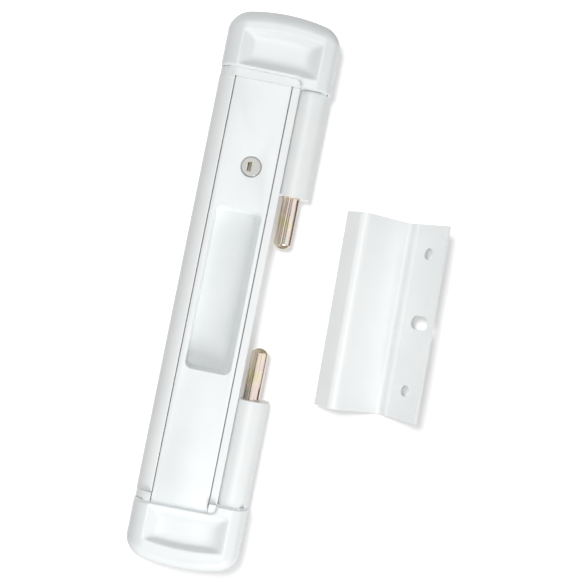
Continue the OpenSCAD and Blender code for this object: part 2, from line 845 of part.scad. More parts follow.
// Slide plate with the finger recess
module recess_ring(d, grow, share, r) {
    x0 = recess_left + recess_left_run * share - grow + r;
    x1 = recess_right - recess_right_run * share + grow - r;
    z0 = recess_bottom + recess_end_run * share - grow + r;
    z1 = recess_top - recess_end_run * share + grow - r;
    for (x = [x0, x1], z = [z0, z1])
        translate([x, -d, z]) rotate([90, 0, 0]) cylinder(h = EPS, r = r, $fn = HULL_FN);
}

module recess_form(front, back, grow) {
    hull() {
        recess_ring(front, grow, (face_d - front) / recess_depth, recess_r + grow);
        recess_ring(back, grow, 1, recess_floor_r + grow);
    }
}

module slide_plate() {
    lug_x = plate_right - lug_t;
    color(WHITE_PLASTIC) difference() {
        union() {
            block(plate_left, plate_right, plate_back, face_d, slide_bottom, slide_top);
            block(plate_left, plate_left + skirt_t, skirt_back, plate_back + EPS,
                  slide_bottom, slide_top);
            block(plate_right - skirt_t, plate_right, skirt_back, plate_back + EPS,
                  slide_bottom, slide_top);
            block(plate_left - tongue_reach, plate_left + skirt_t, skirt_back, tongue_front,
                  tongue_bottom, tongue_top);
            block(plate_right - skirt_t, plate_right + tongue_reach, skirt_back, tongue_front,
                  tongue_bottom, tongue_top);
            recess_form(plate_back, tub_back, tub_wall);
            block(lug_x, plate_right, bolt_depth - lug_half_d, plate_back + EPS,
                  stud_z - lug_len / 2, stud_z + lug_len / 2);
            for (z = rack_boss_z) post(rack_boss_x, z, rack_front_d, plate_back + EPS, rack_boss_r);
            for (side = [-1, 1])
                post(key_x, key_z + side * ear_reach, ear_front_d, plate_back + EPS, ear_r);
        }
        recess_form(face_d, recess_floor_d, 0);
        recess_form(face_d + 1, face_d - EPS, 0);
        post(key_x, key_z, plate_back - 1, BIG, key_hole_r);
        cross_rod(lug_x - 1, plate_right + 1, bolt_depth, stud_z, stud_r + seat_clear);
        for (z = rack_boss_z)
            post(rack_boss_x, z, rack_front_d - 1, plate_back - 1, screw_r + screw_clear);
        for (side = [-1, 1])
            post(key_x, key_z + side * ear_reach, ear_front_d - 1, plate_back - 0.5,
                 screw_r + screw_clear);
    }
}

// Straight-sided rack teeth, seen from the front, that point to the left of the root line
module rack_teeth() {
    half_root = tooth_pitch / 4 - backlash / 4 + dedendum * tan(pressure_angle);
    half_tip = tooth_pitch / 4 - backlash / 4 - addendum * tan(pressure_angle);
    depth = addendum + dedendum;
    for (i = [-teeth_past - 1 : teeth_moved - 1]) translate([0, (i + 0.5) * tooth_pitch])
        polygon([[dedendum, -half_root], [0, -half_root], [-depth, -half_tip], [-depth, half_tip],
                 [0, half_root], [dedendum, half_root]]);
}

module slide_rack() {
    color(DIE_CAST) difference() {
        union() {
            block(slide_rack_root - slide_rack_back, slide_rack_root, rack_back_d, rack_front_d,
                  slide_rack_low, slide_rack_high);
            front_slab(rack_back_d, rack_front_d)
                translate([slide_rack_root, pinion_z]) rotate(180) rack_teeth();
        }
        for (z = rack_boss_z) back_screw_seat(rack_boss_x, z, rack_back_d, BIG);
    }
}

module rack_screws() {
    color(STEEL) for (z = rack_boss_z) back_screw(rack_boss_x, z, rack_back_d, plate_back - 1.5);
}

// Bolts and their drive studs
module bolt() {
    difference() {
        intersection() {
            rod(bolt_x, bolt_depth, bolt_tip, bolt_tail, bolt_r);
            union() {
                translate([bolt_x, -bolt_depth, bolt_tip + tip_r]) sphere(tip_r);
                rod(bolt_x, bolt_depth, bolt_tip + tip_r, bolt_tail, bolt_d);
            }
        }
        cross_rod(bolt_x - bolt_d, bolt_x + stud_past + 0.5, bolt_depth, stud_z, stud_r + seat_clear);
    }
}

module drive_stud(lug_x) {
    cross_rod(lug_x - stud_head_t, lug_x, bolt_depth, stud_z, stud_head_r);
    cross_rod(lug_x - EPS, bolt_x + stud_past, bolt_depth, stud_z, stud_r);
}

module upper_bolt() {
    color(ZINC_YELLOW) bolt();
}

module upper_drive_stud() {
    color(STEEL) drive_stud(plate_right - lug_t);
}

module lower_bolt() {
    color(ZINC_YELLOW) lower_side() bolt();
}

module lower_drive_stud() {
    color(STEEL) lower_side() drive_stud(lower_rack_root);
}

// Rack that pulls the lower bolt, with the lug for its stud
module lower_rack() {
    color(DIE_CAST) difference() {
        union() {
            block(lower_rack_root, lower_rack_side, rack_back_d, rack_front_d,
                  lower_rack_low, lower_rack_high);
            front_slab(rack_back_d, rack_front_d) translate([lower_rack_root, pinion_z]) rack_teeth();
            block(lower_rack_root, plate_right, rack_back_d, bolt_depth + lug_half_d,
                  lower_rack_low, lower_rack_low + lug_len);
        }
        cross_rod(lower_rack_root - BIG, plate_right + 1, bolt_depth, -stud_z, stud_r + seat_clear);
    }
}

// Pinion with involute teeth
function involute_angle(a) = tan(a) * 180 / PI - a;
base_r = pitch_r * cos(pressure_angle);
root_r = pitch_r - dedendum;
outer_r = pitch_r + pinion_addendum;
flank_steps = 4;
half_tooth = (tooth_pitch / 2 - backlash / 2) / (2 * pitch_r) * 180 / PI;
function flank_r(i) = base_r + (outer_r - base_r) * i / flank_steps;
function flank_half(r) =
    half_tooth + involute_angle(pressure_angle) - involute_angle(acos(min(1, base_r / r)));
function polar(r, a) = [r * cos(a), r * sin(a)];
function tooth_points(mid) = concat(
    [polar(root_r, mid - flank_half(base_r))],
    [for (i = [0 : flank_steps]) polar(flank_r(i), mid - flank_half(flank_r(i)))],
    [for (i = [flank_steps : -1 : 0]) polar(flank_r(i), mid + flank_half(flank_r(i)))],
    [polar(root_r, mid + flank_half(base_r))]
);

module pinion() {
    color(DIE_CAST) difference() {
        front_slab(rack_back_d, rack_front_d) translate([pinion_x, pinion_z])
            polygon([for (k = [0 : pinion_teeth - 1]) each tooth_points(k * 360 / pinion_teeth)]);
        post(pinion_x, pinion_z, 0, BIG, axle_r + axle_clear);
    }
}

// Key cylinder
module cylinder_shell() {
    color(DIE_CAST) difference() {
        union() {
            post(key_x, key_z, shell_back, plate_back, shell_r);
            block(key_x - ear_r, key_x + ear_r, ear_front_d - ear_t, ear_front_d,
                  key_z - ear_reach, key_z + ear_reach);
            for (side = [-1, 1])
                post(key_x, key_z + side * ear_reach, ear_front_d - ear_t, ear_front_d, ear_r);
        }
        post(key_x, key_z, 0, BIG, plug_r + plug_clear);
        for (side = [-1, 1])
            post(key_x, key_z + side * ear_reach, 0, BIG, screw_r + screw_clear);
    }
}

module cylinder_screws() {
    color(STEEL) for (side = [-1, 1])
        back_screw(key_x, key_z + side * ear_reach, ear_front_d - ear_t - screw_head_t, plate_back - 1);
}

function wafer_back(i) = keyway_back_d + wafer_clear + i * wafer_pitch;

module key_plug() {
    color(DIE_CAST) difference() {
        union() {
            post(key_x, key_z, cam_front_d, plate_back + cam_gap, plug_r);
            post(key_x, key_z, plate_back + cam_gap / 2, plug_face_d, plug_face_r);
        }
        block(key_x - keyway_shift - keyway_w / 2, key_x - keyway_shift + keyway_w / 2,
              keyway_back_d, BIG, key_z - keyway_h / 2, key_z + keyway_h / 2);
        post(key_x, key_z, 0, keyway_back_d - 0.6, screw_r + screw_clear);
        for (i = [0 : wafer_count - 1])
            block(key_x - wafer_w / 2 - wafer_clear, key_x + wafer_w / 2 + wafer_clear,
                  wafer_back(i) - wafer_clear, wafer_back(i) + wafer_t + wafer_clear,
                  key_z - plug_r - 1, key_z + plug_r + 1);
    }
}

module wafer_tumblers() {
    color(BRASS) for (i = [0 : wafer_count - 1]) difference() {
        block(key_x - wafer_w / 2, key_x + wafer_w / 2, wafer_back(i), wafer_back(i) + wafer_t,
              key_z - wafer_h / 2, key_z + wafer_h / 2);
        block(key_x - keyway_shift - keyway_w / 2 - wafer_clear,
              key_x - keyway_shift + keyway_w / 2 + wafer_clear, 0, BIG,
              key_z - keyway_h / 2 + wafer_clear * i, key_z + keyway_h / 2 - wafer_clear);
    }
}

module lock_cam() {
    color(STEEL) difference() {
        union() {
            post(key_x, key_z, cam_back_d, cam_front_d, cam_hub_r);
            block(key_x - cam_arm_r, key_x + cam_arm_r, cam_back_d, cam_front_d,
                  key_z - cam_len, key_z);
        }
        post(key_x, key_z, 0, BIG, screw_r + screw_clear);
    }
}

module cam_screw() {
    color(STEEL) back_screw(key_x, key_z, cam_back_d - screw_head_t, keyway_back_d - 1);
}

// Keeper: bent plate, drawn in its own frame with the ridge at the origin.
// There u runs along the web and v towards the front of the mounting flange.
module bend(r_in, start) {
    intersection() {
        difference() {
            circle(r_in + keeper_t);
            circle(r_in);
        }
        rotate(start) square(BIG);
    }
}

keeper_web_half = keeper_t / 2;
valley_u = keeper_web - flange_bend_r - keeper_web_half;
valley_v = flange_bend_r + keeper_web_half;
keeper_ridge_d = keeper_lift + flange_bend_r + keeper_t
    + valley_u * sin(keeper_roll) - valley_v * cos(keeper_roll);

module keeper_section() {
    rect(hook_bend_r + keeper_web_half, valley_u, -keeper_web_half, keeper_web_half);
    translate([hook_bend_r + keeper_web_half, -hook_bend_r - keeper_web_half]) bend(hook_bend_r, 90);
    rect(-keeper_web_half, keeper_web_half, -keeper_hook, -hook_bend_r - keeper_web_half);
    translate([valley_u, valley_v]) bend(flange_bend_r, -90);
    rect(keeper_web - keeper_web_half, keeper_web + keeper_web_half, valley_v, keeper_flange);
    bead_r = (pow(bead_w / 2, 2) + pow(bead_h, 2)) / (2 * bead_h);
    intersection() {
        translate([keeper_web - keeper_web_half + bead_r - bead_h,
                   keeper_web_half + bead_place + bead_w / 2]) circle(bead_r);
        rect(keeper_web - BIG, keeper_web, 0, BIG);
    }
}

// Hole square to the mounting flange
module flange_hole(v, z, r) {
    translate([keeper_web - keeper_t * 2, v, z]) rotate([0, 90, 0]) cylinder(h = keeper_t * 4, r = r);
}

module keeper() {
    hole_v = keeper_flange - keeper_hole_edge;
    slot_v = keeper_flange - keeper_slot_edge;
    slot_half_run = (keeper_slot_l - keeper_slot_w) / 2;
    color(WHITE)
        translate([keeper_x, -keeper_ridge_d, keeper_z]) rotate([0, -keeper_lean, 0])
        mirror([0, 1, 0]) rotate([0, 0, -keeper_roll])
        difference() {
            translate([0, 0, -keeper_len / 2]) linear_extrude(keeper_len) keeper_section();
            for (side = [-1, 1]) flange_hole(hole_v, side * keeper_hole_pitch / 2, keeper_hole_r);
            for (side = [-1, 1]) flange_hole(slot_v + side * slot_half_run, 0, keeper_slot_w / 2);
            translate([keeper_web - keeper_t * 2, slot_v - slot_half_run, -keeper_slot_w / 2])
                cube([keeper_t * 4, slot_half_run * 2, keeper_slot_w]);
        }
}

body_extrusion();
upper_end_block();
lower_end_block();
end_block_screws();
upper_end_cap();
lower_end_cap();
cap_screws();
pinion_axle();
axle_clip();
cam_stop();
rack_guide();
guide_rivet();
friction_spring();
spring_rivet();
slide_plate();
slide_rack();
rack_screws();
upper_bolt();
upper_drive_stud();
cylinder_shell();
cylinder_screws();
key_plug();
wafer_tumblers();
lock_cam();
cam_screw();
pinion();
lower_rack();
lower_bolt();
lower_drive_stud();
keeper();
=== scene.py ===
import json
import math

import bmesh
import bpy
import numpy as np
from mathutils import Matrix, Quaternion, Vector


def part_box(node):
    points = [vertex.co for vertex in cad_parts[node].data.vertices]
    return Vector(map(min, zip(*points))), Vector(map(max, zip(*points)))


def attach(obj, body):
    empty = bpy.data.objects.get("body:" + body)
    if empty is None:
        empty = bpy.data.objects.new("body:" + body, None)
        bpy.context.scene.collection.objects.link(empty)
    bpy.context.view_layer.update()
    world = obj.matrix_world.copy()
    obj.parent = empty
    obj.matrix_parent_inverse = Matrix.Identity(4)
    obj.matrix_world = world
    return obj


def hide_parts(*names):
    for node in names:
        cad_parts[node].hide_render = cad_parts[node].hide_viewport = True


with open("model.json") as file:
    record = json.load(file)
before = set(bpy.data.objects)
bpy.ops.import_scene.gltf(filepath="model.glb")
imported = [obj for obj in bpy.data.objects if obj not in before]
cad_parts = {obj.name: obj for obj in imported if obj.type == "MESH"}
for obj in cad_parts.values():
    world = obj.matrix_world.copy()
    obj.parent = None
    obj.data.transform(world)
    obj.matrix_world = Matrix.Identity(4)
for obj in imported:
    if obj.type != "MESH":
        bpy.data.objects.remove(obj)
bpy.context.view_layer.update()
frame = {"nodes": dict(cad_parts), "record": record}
NODES = frame["nodes"]
BODY_OF = {
    node: body
    for body, nodes in frame["record"]["behaviour"]["bodies"].items()
    for node in nodes
}
SLOT_OF = {name: node.material_slots[0].name for name, node in NODES.items()}

# Sizes are in mm. x runs to the right, d out of the door towards the eye, z up the lock.
MM = 0.001
BODY_HALF = 30.90125
BODY_TOP = 114.4
LOCK_TOP = 152.4
FACE_D = 20.5

# The sliding plate with its key hole, and the skirts, tongues, lug and bosses behind it.
PLATE_LEFT, PLATE_RIGHT = -21.40125, 9.39875
PLATE_LOW, PLATE_HIGH = -145.8, 116.2
PLATE_BACK = 18.3
PLATE_CORNER = 0.8
PLATE_EDGE = 0.45
KEY_X, KEY_Z, KEY_HOLE_R, KEY_EDGE = -3.80125, 67.7, 5.7, 0.3
SKIRT_T, SKIRT_BACK = 2.0, 14.5
TONGUE_REACH, TONGUE_FRONT = 1.2, 16.3
TONGUE_LOW, TONGUE_HIGH = -112.6, 85.6
LUG_T, LUG_BACK, LUG_Z, LUG_LEN = 3.0, 5.1, 78.8, 11.0
EAR_REACH, EAR_R, EAR_FRONT = 10.2, 2.8, 15.0
RACK_BOSS_R = 2.4
RIB_SINK, RIB_BEVEL = 0.6, 0.25
BOSS_EDGE, BORE_EDGE, BORE_END = 0.3, 0.1, 0.8

# The finger recess. Its left, right and end walls lean in by the runs.
RECESS_LEFT, RECESS_RIGHT = -18.00125, 6.99875
RECESS_LOW, RECESS_HIGH = -45.15, 44.35
RECESS_DEPTH = 9.0
RECESS_RUNS = (0.3, 3.4, 1.4)
RECESS_R, RECESS_FLOOR_R, RECESS_LEAST_R = 4.0, 3.0, 0.4
RECESS_RIM, RECESS_FILLET = 0.45, 0.6
TUB_WALL, TUB_EDGE = 1.8, 0.3
# Its floor is lifted, rises to the upper end and to the right, and is hollow across, more so on
# the right. Two scoops start at shares of its lower half, each with its gain.
FLOOR_LIFT, FLOOR_TILT, FLOOR_LEAN = 0.7, 1.2, 2.0
SCOOP, SCOOP_RIGHT = 1.0, 0.8
SCOOP_LOW = ((0.15, 4.0), (0.75, 16.0))
# Loops of points over the rim, over the fillet and, as shares of its outline, over the floor.
RIM_LOOPS, FILLET_LOOPS = 6, 8
FLOOR_LOOPS = (0.9, 0.78, 0.64, 0.5, 0.36, 0.22, 0.08)

# Points round a corner, over a soft edge, along a side of the recess and round a circle.
CORNER_STEPS, EDGE_STEPS, SIDE_POINTS, ROUND_POINTS = 8, 4, 20, 64

# The two end caps, the dishes in them and the rounds where their surfaces meet.
CAP_TOP = 25.8
CAP_LEFT_R, CAP_RIGHT_R, CAP_END_R = 10.6, 9.5, 8.0
CAP_WALL = 1.8
ARCH_R = 100.0
BAND_LINE = 118.8
NOTCH_X, NOTCH_R, NOTCH_EDGE = 13.94875, 3.5, 1.6
DISH_HALF, DISH_LOW, DISH_HIGH, DISH_ARCH = 21.0, 120.0, 140.3, 1.8
DISH_DEPTH, DISH_SIDE_RUN, DISH_END_RUN = 4.0, 17.0, 11.0
DISH_BLEND, DISH_RIM = 1.4, 1.2
HOLLOW_STEP_D, HOLLOW_TOP, HOLLOW_STEP, HOLLOW_END_SHARE = 18.3, 20.9, 2.5, 0.4
CAP_FOOT_EDGE, CAP_BACK_EDGE = 0.5, 0.4
CAP_SCREW_X, CAP_SCREW_Z = (-25.30125, 20.80125), 140.4
CAP_BOSS_R, CAP_BOSS_SINK, CAP_BORE_R, CAP_BORE_D = 2.6, 1.0, 1.34, 10.0
FLOOR_T = 2.2
# The caps' net of points: its step, the room round them, and how it is drawn to their surface.
NET_STEP, NET_ROOM, NET_ROOM_BACK = 0.55, 1.0, 0.9
NET_PASSES, LEAST_SLOPE, SLOPE_STEP = 4, 0.05, 0.04
TINY = 1e-6

# The small screws. A bevel and a drive's depth are shares of the head's height.
SCREW_HEAD_R, SCREW_HEAD_H, SCREW_R = 2.3, 1.5, 1.3
SCREW_BEVEL, DRIVE_DEPTH = 0.25, 1.3
DRIVE_LEN, DRIVE_W = 2.6, 0.6
HEAD_SIDES, SHANK_SIDES = 40, 28
END_SCREW_LEN = 18.6
CAP_SCREW_ROOM, PLATE_SCREW_ROOM = 0.9, 0.4

# A copy of a CAD node: points this close are one, faces this flat are one, and edges sharper
# than this are rounded. Angles are in degrees.
WELD, FLAT_ANGLE, EDGE_ANGLE = 0.002, 0.5, 38
SHARP_ANGLE = 30

# The table behind the lock, and the photograph's camera with its turns in radians.
TABLE_D, TABLE_HALF, TABLE_GLOW = -0.4, 3000.0, 0.17
EYE_PLACE = (17.623, 550.0, 3.155)
PAN, TILT, ROLL = 0.0230965, 0.0066476, 0.19818
FOCAL_PX, PICTURE_PX, SENSOR = 981.71, 580, 36.0

# Strength of the soft light from both ways along each axis: right and left, behind and in front,
# above and below.
SKY = {"X": (0.32, 0.86), "Y": (0.80, 0.80), "Z": (0.60, 0.05)}
# What gloss sees round the compass, at the height of the screen and elsewhere.
SCREEN_WALLS = (
    (0.00, "FFFFFF"),
    (0.10, "FFFFFF"),
    (0.16, "8C8270"),
    (0.30, "746A56"),
    (0.415, "857A62"),
    (0.43, "FFFFFF"),
    (0.465, "FFFFFF"),
    (0.475, "4A4843"),
    (0.51, "55534D"),
    (0.52, "E8E4DA"),
    (0.535, "E8E4DA"),
    (0.545, "5A5852"),
    (0.575, "64625B"),
    (0.59, "FFFFFF"),
    (0.745, "FFFFFF"),
    (0.765, "57483E"),
    (0.88, "6A5E54"),
    (0.92, "FFFFFF"),
    (1.00, "FFFFFF"),
)
OTHER_WALLS = (
    (0.00, "FFFFFF"),
    (0.10, "FFFFFF"),
    (0.16, "9A9686"),
    (0.30, "827E6C"),
    (0.42, "8E8672"),
    (0.445, "FFFFFF"),
    (0.72, "FFFFFF"),
    (0.735, "40342C"),
    (0.80, "4A4038"),
    (0.83, "FFFFFF"),
    (1.00, "FFFFFF"),
)


def at(x, d, z):
    """A place in mm, right, out and up, as a point of the row frame in metres."""
    return (x * MM, -d * MM, z * MM)


def tone(code):
    """A colour written as an sRGB hex value, made linear for a shader."""
    parts = [int(code[i : i + 2], 16) / 255 for i in (0, 2, 4)]
    linear = [p / 12.92 if p <= 0.04045 else ((p + 0.055) / 1.055) ** 2.4 for p in parts]
    return (*linear, 1.0)


def feed(tree, node, inputs):
    """Sets a node's inputs. One takes a value, another node's output, or a list of outputs."""
    for name, value in inputs.items():
        socket = node.inputs[name]
        for source in value if isinstance(value, list) else [value]:
            if isinstance(source, bpy.types.NodeSocket):
                tree.links.new(source, socket)
            else:
                socket.default_value = source


def add(tree, kind, inputs=None, stops=(), **settings):
    """Adds a node with its inputs and settings. A ramp also takes its stops in order, each a
    position and a hex colour."""
    node = tree.nodes.new(kind)
    for name, value in settings.items():
        setattr(node, name, value)
    if stops:
        marks = node.color_ramp.elements
        for mark, (position, code) in zip(marks[:2], (stops[0], stops[-1])):
            mark.position, mark.color = position, tone(code)
        for position, code in stops[1:-1]:
            marks.new(position).color = tone(code)
    feed(tree, node, inputs or {})
    return node


def new_finish(name):
    """An empty material: its tree, its surface shader and the piece's own coordinates."""
    finish = bpy.data.materials.new(name)
    finish.use_nodes = True
    tree = finish.node_tree
    tree.nodes.clear()
    surface = add(tree, "ShaderNodeBsdfPrincipled")
    add(tree, "ShaderNodeOutputMaterial", {"Surface": surface.outputs["BSDF"]})
    place = add(tree, "ShaderNodeTexCoord").outputs["Object"]
    return finish, tree, surface, place


def powder_coat():
    """Polyester powder baked on extruded aluminium: an even satin white with the faint
    orange peel that breaks up every highlight along the rails."""
    finish, tree, surface, place = new_finish("powder_coated_aluminium_white")
    peel = add(
        tree, "ShaderNodeTexNoise", {"Vector": place, "Scale": 1 / (0.9 * MM), "Detail": 2.0}
    )
    film = add(
        tree, "ShaderNodeTexNoise", {"Vector": place, "Scale": 1 / (28 * MM), "Detail": 3.0}
    )
    colour = add(
        tree,
        "ShaderNodeValToRGB",
        {"Fac": film.outputs["Fac"]},
        stops=((0.35, "EEF1F1"), (0.65, "F2F4F4")),
    )
    gloss = add(
        tree,
        "ShaderNodeMapRange",
        {"Value": film.outputs["Fac"], "To Min": 0.30, "To Max": 0.38},
    )
    bump = add(
        tree,
        "ShaderNodeBump",
        {"Height": peel.outputs["Fac"], "Strength": 0.10, "Distance": 0.04 * MM},
    )
    feed(
        tree,
        surface,
        {
            "Base Color": colour.outputs["Color"],
            "Roughness": gloss.outputs["Result"],
            "Normal": bump.outputs["Normal"],
            "IOR": 1.5,
        },
    )
    return finish


def white_moulding():
    """Injection moulded ABS from a polished tool: a cool white with a soft gloss, and the
    slight waviness of a moulded skin in its reflections."""
    finish, tree, surface, place = new_finish("moulded_abs_white")
    skin = add(
        tree, "ShaderNodeTexNoise", {"Vector": place, "Scale": 1 / (0.35 * MM), "Detail": 2.0}
    )
    sink = add(
        tree, "ShaderNodeTexNoise", {"Vector": place, "Scale": 1 / (22 * MM), "Detail": 2.0}
    )
    colour = add(
        tree,
        "ShaderNodeValToRGB",
        {"Fac": sink.outputs["Fac"]},
        stops=((0.35, "EDF1F2"), (0.65, "F1F4F5")),
    )
    gloss = add(
        tree,
        "ShaderNodeMapRange",
        {"Value": skin.outputs["Fac"], "To Min": 0.22, "To Max": 0.30},
    )
    fine = add(
        tree,
        "ShaderNodeBump",
        {"Height": skin.outputs["Fac"], "Strength": 0.06, "Distance": 0.02 * MM},
    )
    bump = add(
        tree,
        "ShaderNodeBump",
        {
            "Height": sink.outputs["Fac"],
            "Strength": 0.12,
            "Distance": 0.4 * MM,
            "Normal": fine.outputs["Normal"],
        },
    )
    feed(
        tree,
        surface,
        {
            "Base Color": colour.outputs["Color"],
            "Roughness": gloss.outputs["Result"],
            "Normal": bump.outputs["Normal"],
            "IOR": 1.53,
        },
    )
    return finish


def yellow_zinc():
    """Drawn steel bar with yellow zinc plating: a bright film that shifts between straw, pink and
    pale green along the bar, over the long streaks that the drawing die left."""
    finish, tree, surface, place = new_finish("yellow_zinc_plated_steel")
    drawn = add(tree, "ShaderNodeMapping", {"Vector": place, "Scale": (1.0, 1.0, 0.025)})
    streak = add(
        tree,
        "ShaderNodeTexNoise",
        {
            "Vector": drawn.outputs["Vector"],
            "Scale": 1 / (0.9 * MM),
            "Detail": 3.0,
            "Roughness": 0.6,
        },
    )
    film = add(
        tree, "ShaderNodeTexNoise", {"Vector": place, "Scale": 1 / (11 * MM), "Detail": 2.0}
    )
    plated = add(
        tree,
        "ShaderNodeValToRGB",
        {"Fac": film.outputs["Fac"]},
        stops=((0.34, "EBE3BE"), (0.44, "F3E6D2"), (0.54, "F2DCD8"), (0.66, "E2E6D6")),
    )
    worn = add(
        tree,
        "ShaderNodeMapRange",
        {"Value": streak.outputs["Fac"], "From Min": 0.52, "From Max": 0.72},
    )
    colour = add(
        tree,
        "ShaderNodeMix",
        {0: worn.outputs["Result"], 6: plated.outputs["Color"], 7: tone("A89A80")},
        data_type="RGBA",
    )
    gloss = add(
        tree,
        "ShaderNodeMapRange",
        {"Value": streak.outputs["Fac"], "To Min": 0.10, "To Max": 0.22},
    )
    bump = add(
        tree,
        "ShaderNodeBump",
        {"Height": streak.outputs["Fac"], "Strength": 0.25, "Distance": 0.05 * MM},
    )
    feed(
        tree,
        surface,
        {
            "Base Color": colour.outputs[2],
            "Roughness": gloss.outputs["Result"],
            "Normal": bump.outputs["Normal"],
            "Metallic": 1.0,
        },
    )
    return finish


def plain_steel():
    """Zinc plated steel of screws, rivets, spring and cam: a cool grey metal with fine
    crystalline mottling."""
    finish, tree, surface, place = new_finish("zinc_plated_steel")
    spangle = add(tree, "ShaderNodeTexVoronoi", {"Vector": place, "Scale": 1 / (0.6 * MM)})
    colour = add(
        tree,
        "ShaderNodeValToRGB",
        {"Fac": spangle.outputs["Distance"]},
        stops=((0.0, "B9BCBF"), (1.0, "CFD1D2")),
    )
    gloss = add(
        tree,
        "ShaderNodeMapRange",
        {"Value": spangle.outputs["Distance"], "To Min": 0.26, "To Max": 0.40},
    )
    feed(
        tree,
        surface,
        {
            "Base Color": colour.outputs["Color"],
            "Roughness": gloss.outputs["Result"],
            "Metallic": 1.0,
        },
    )
    return finish


def zinc_casting():
    """Zinc die casting with a thin nickel flash: pale grey metal, matt with a fine cast grain."""
    finish, tree, surface, place = new_finish("zinc_die_casting")
    grain = add(
        tree, "ShaderNodeTexNoise", {"Vector": place, "Scale": 1 / (0.4 * MM), "Detail": 3.0}
    )
    colour = add(
        tree,
        "ShaderNodeValToRGB",
        {"Fac": grain.outputs["Fac"]},
        stops=((0.0, "C9CBCC"), (1.0, "E0E1E1")),
    )
    gloss = add(
        tree,
        "ShaderNodeMapRange",
        {"Value": grain.outputs["Fac"], "To Min": 0.34, "To Max": 0.48},
    )
    bump = add(
        tree,
        "ShaderNodeBump",
        {"Height": grain.outputs["Fac"], "Strength": 0.2, "Distance": 0.03 * MM},
    )
    feed(
        tree,
        surface,
        {
            "Base Color": colour.outputs["Color"],
            "Roughness": gloss.outputs["Result"],
            "Normal": bump.outputs["Normal"],
            "Metallic": 1.0,
        },
    )
    return finish


def plug_face_nickel():
    """Nickel plated key plug: a faced end whose fine turned rings circle the key hole's middle.
    The rings are drawn coarser than a tool leaves them, so that they show."""
    finish, tree, surface, place = new_finish("nickel_plated_plug")
    centred = add(
        tree,
        "ShaderNodeMapping",
        {"Vector": place, "Location": (-KEY_X * MM, 0.0, -KEY_Z * MM), "Scale": (1.0, 0.0, 1.0)},
    )
    turned = add(
        tree,
        "ShaderNodeTexWave",
        {"Vector": centred.outputs["Vector"], "Scale": 1 / (2.2 * MM), "Distortion": 0.6},
        wave_type="RINGS",
        rings_direction="SPHERICAL",
    )
    colour = add(
        tree,
        "ShaderNodeValToRGB",
        {"Fac": turned.outputs["Fac"]},
        stops=((0.0, "DCDDD9"), (1.0, "EFEFEC")),
    )
    bump = add(
        tree,
        "ShaderNodeBump",
        {"Height": turned.outputs["Fac"], "Strength": 0.15, "Distance": 0.02 * MM},
    )
    feed(
        tree,
        surface,
        {
            "Base Color": colour.outputs["Color"],
            "Normal": bump.outputs["Normal"],
            "Metallic": 1.0,
            "Roughness": 0.38,
        },
    )
    return finish


def brass_sheet():
    """Stamped brass of the wafers: warm yellow metal with the lines of the rolled strip."""
    finish, tree, surface, place = new_finish("stamped_brass_sheet")
    rolled = add(tree, "ShaderNodeMapping", {"Vector": place, "Scale": (1.0, 1.0, 0.1)})
    lines = add(
        tree,
        "ShaderNodeTexNoise",
        {"Vector": rolled.outputs["Vector"], "Scale": 1 / (0.25 * MM), "Detail": 2.0},
    )
    colour = add(
        tree,
        "ShaderNodeValToRGB",
        {"Fac": lines.outputs["Fac"]},
        stops=((0.0, "C6A24F"), (1.0, "E2C57C")),
    )
    gloss = add(
        tree,
        "ShaderNodeMapRange",
        {"Value": lines.outputs["Fac"], "To Min": 0.22, "To Max": 0.34},
    )
    feed(
        tree,
        surface,
        {
            "Base Color": colour.outputs["Color"],
            "Roughness": gloss.outputs["Result"],
            "Metallic": 1.0,
        },
    )
    return finish


def natural_acetal():
    """Natural acetal of the rack guide: a waxy, slightly warm white with a dull sheen."""
    finish, tree, surface, place = new_finish("natural_acetal")
    wax = add(tree, "ShaderNodeTexNoise", {"Vector": place, "Scale": 1 / (4 * MM), "Detail": 3.0})
    colour = add(
        tree,
        "ShaderNodeValToRGB",
        {"Fac": wax.outputs["Fac"]},
        stops=((0.0, "DEDCD4"), (1.0, "E9E8E2")),
    )
    gloss = add(
        tree,
        "ShaderNodeMapRange",
        {"Value": wax.outputs["Fac"], "To Min": 0.40, "To Max": 0.55},
    )
    feed(
        tree,
        surface,
        {
            "Base Color": colour.outputs["Color"],
            "Roughness": gloss.outputs["Result"],
            "IOR": 1.48,
        },
    )
    return finish


FINISHES = {
    "white_powder_coat": powder_coat(),
    "white_moulding": white_moulding(),
    "yellow_zinc_steel": yellow_zinc(),
    "plain_steel": plain_steel(),
    "zinc_casting": zinc_casting(),
    "brass_sheet": brass_sheet(),
    "guide_moulding": natural_acetal(),
}
PLUG_NICKEL = plug_face_nickel()


def shown(name, mesh):
    """Puts a mesh in the scene as an object at the origin."""
    piece = bpy.data.objects.new(name, mesh)
    bpy.context.scene.collection.objects.link(piece)
    return piece


def as_plain_mesh(piece):
    """Applies the piece's modifiers, so that a plain mesh is left."""
    bpy.context.view_layer.update()
    ready = piece.evaluated_get(bpy.context.evaluated_depsgraph_get())
    mesh = bpy.data.meshes.new_from_object(ready)
    piece.modifiers.clear()
    piece.data = mesh
    return mesh


def smooth_but_keep_edges(mesh):
    """Rounds the shading over faces that meet at less than the sharp angle."""
    mesh.shade_smooth()
    mesh.set_sharp_from_angle(angle=math.radians(SHARP_ANGLE))


def stand_for(piece, node, finish=None):
    """Gives the piece its finish and lets it stand for its CAD node on the node's body."""
    piece.data.materials.clear()
    piece.data.materials.append(finish or FINISHES[SLOT_OF[node]])
    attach(piece, BODY_OF[node])
    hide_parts(node)


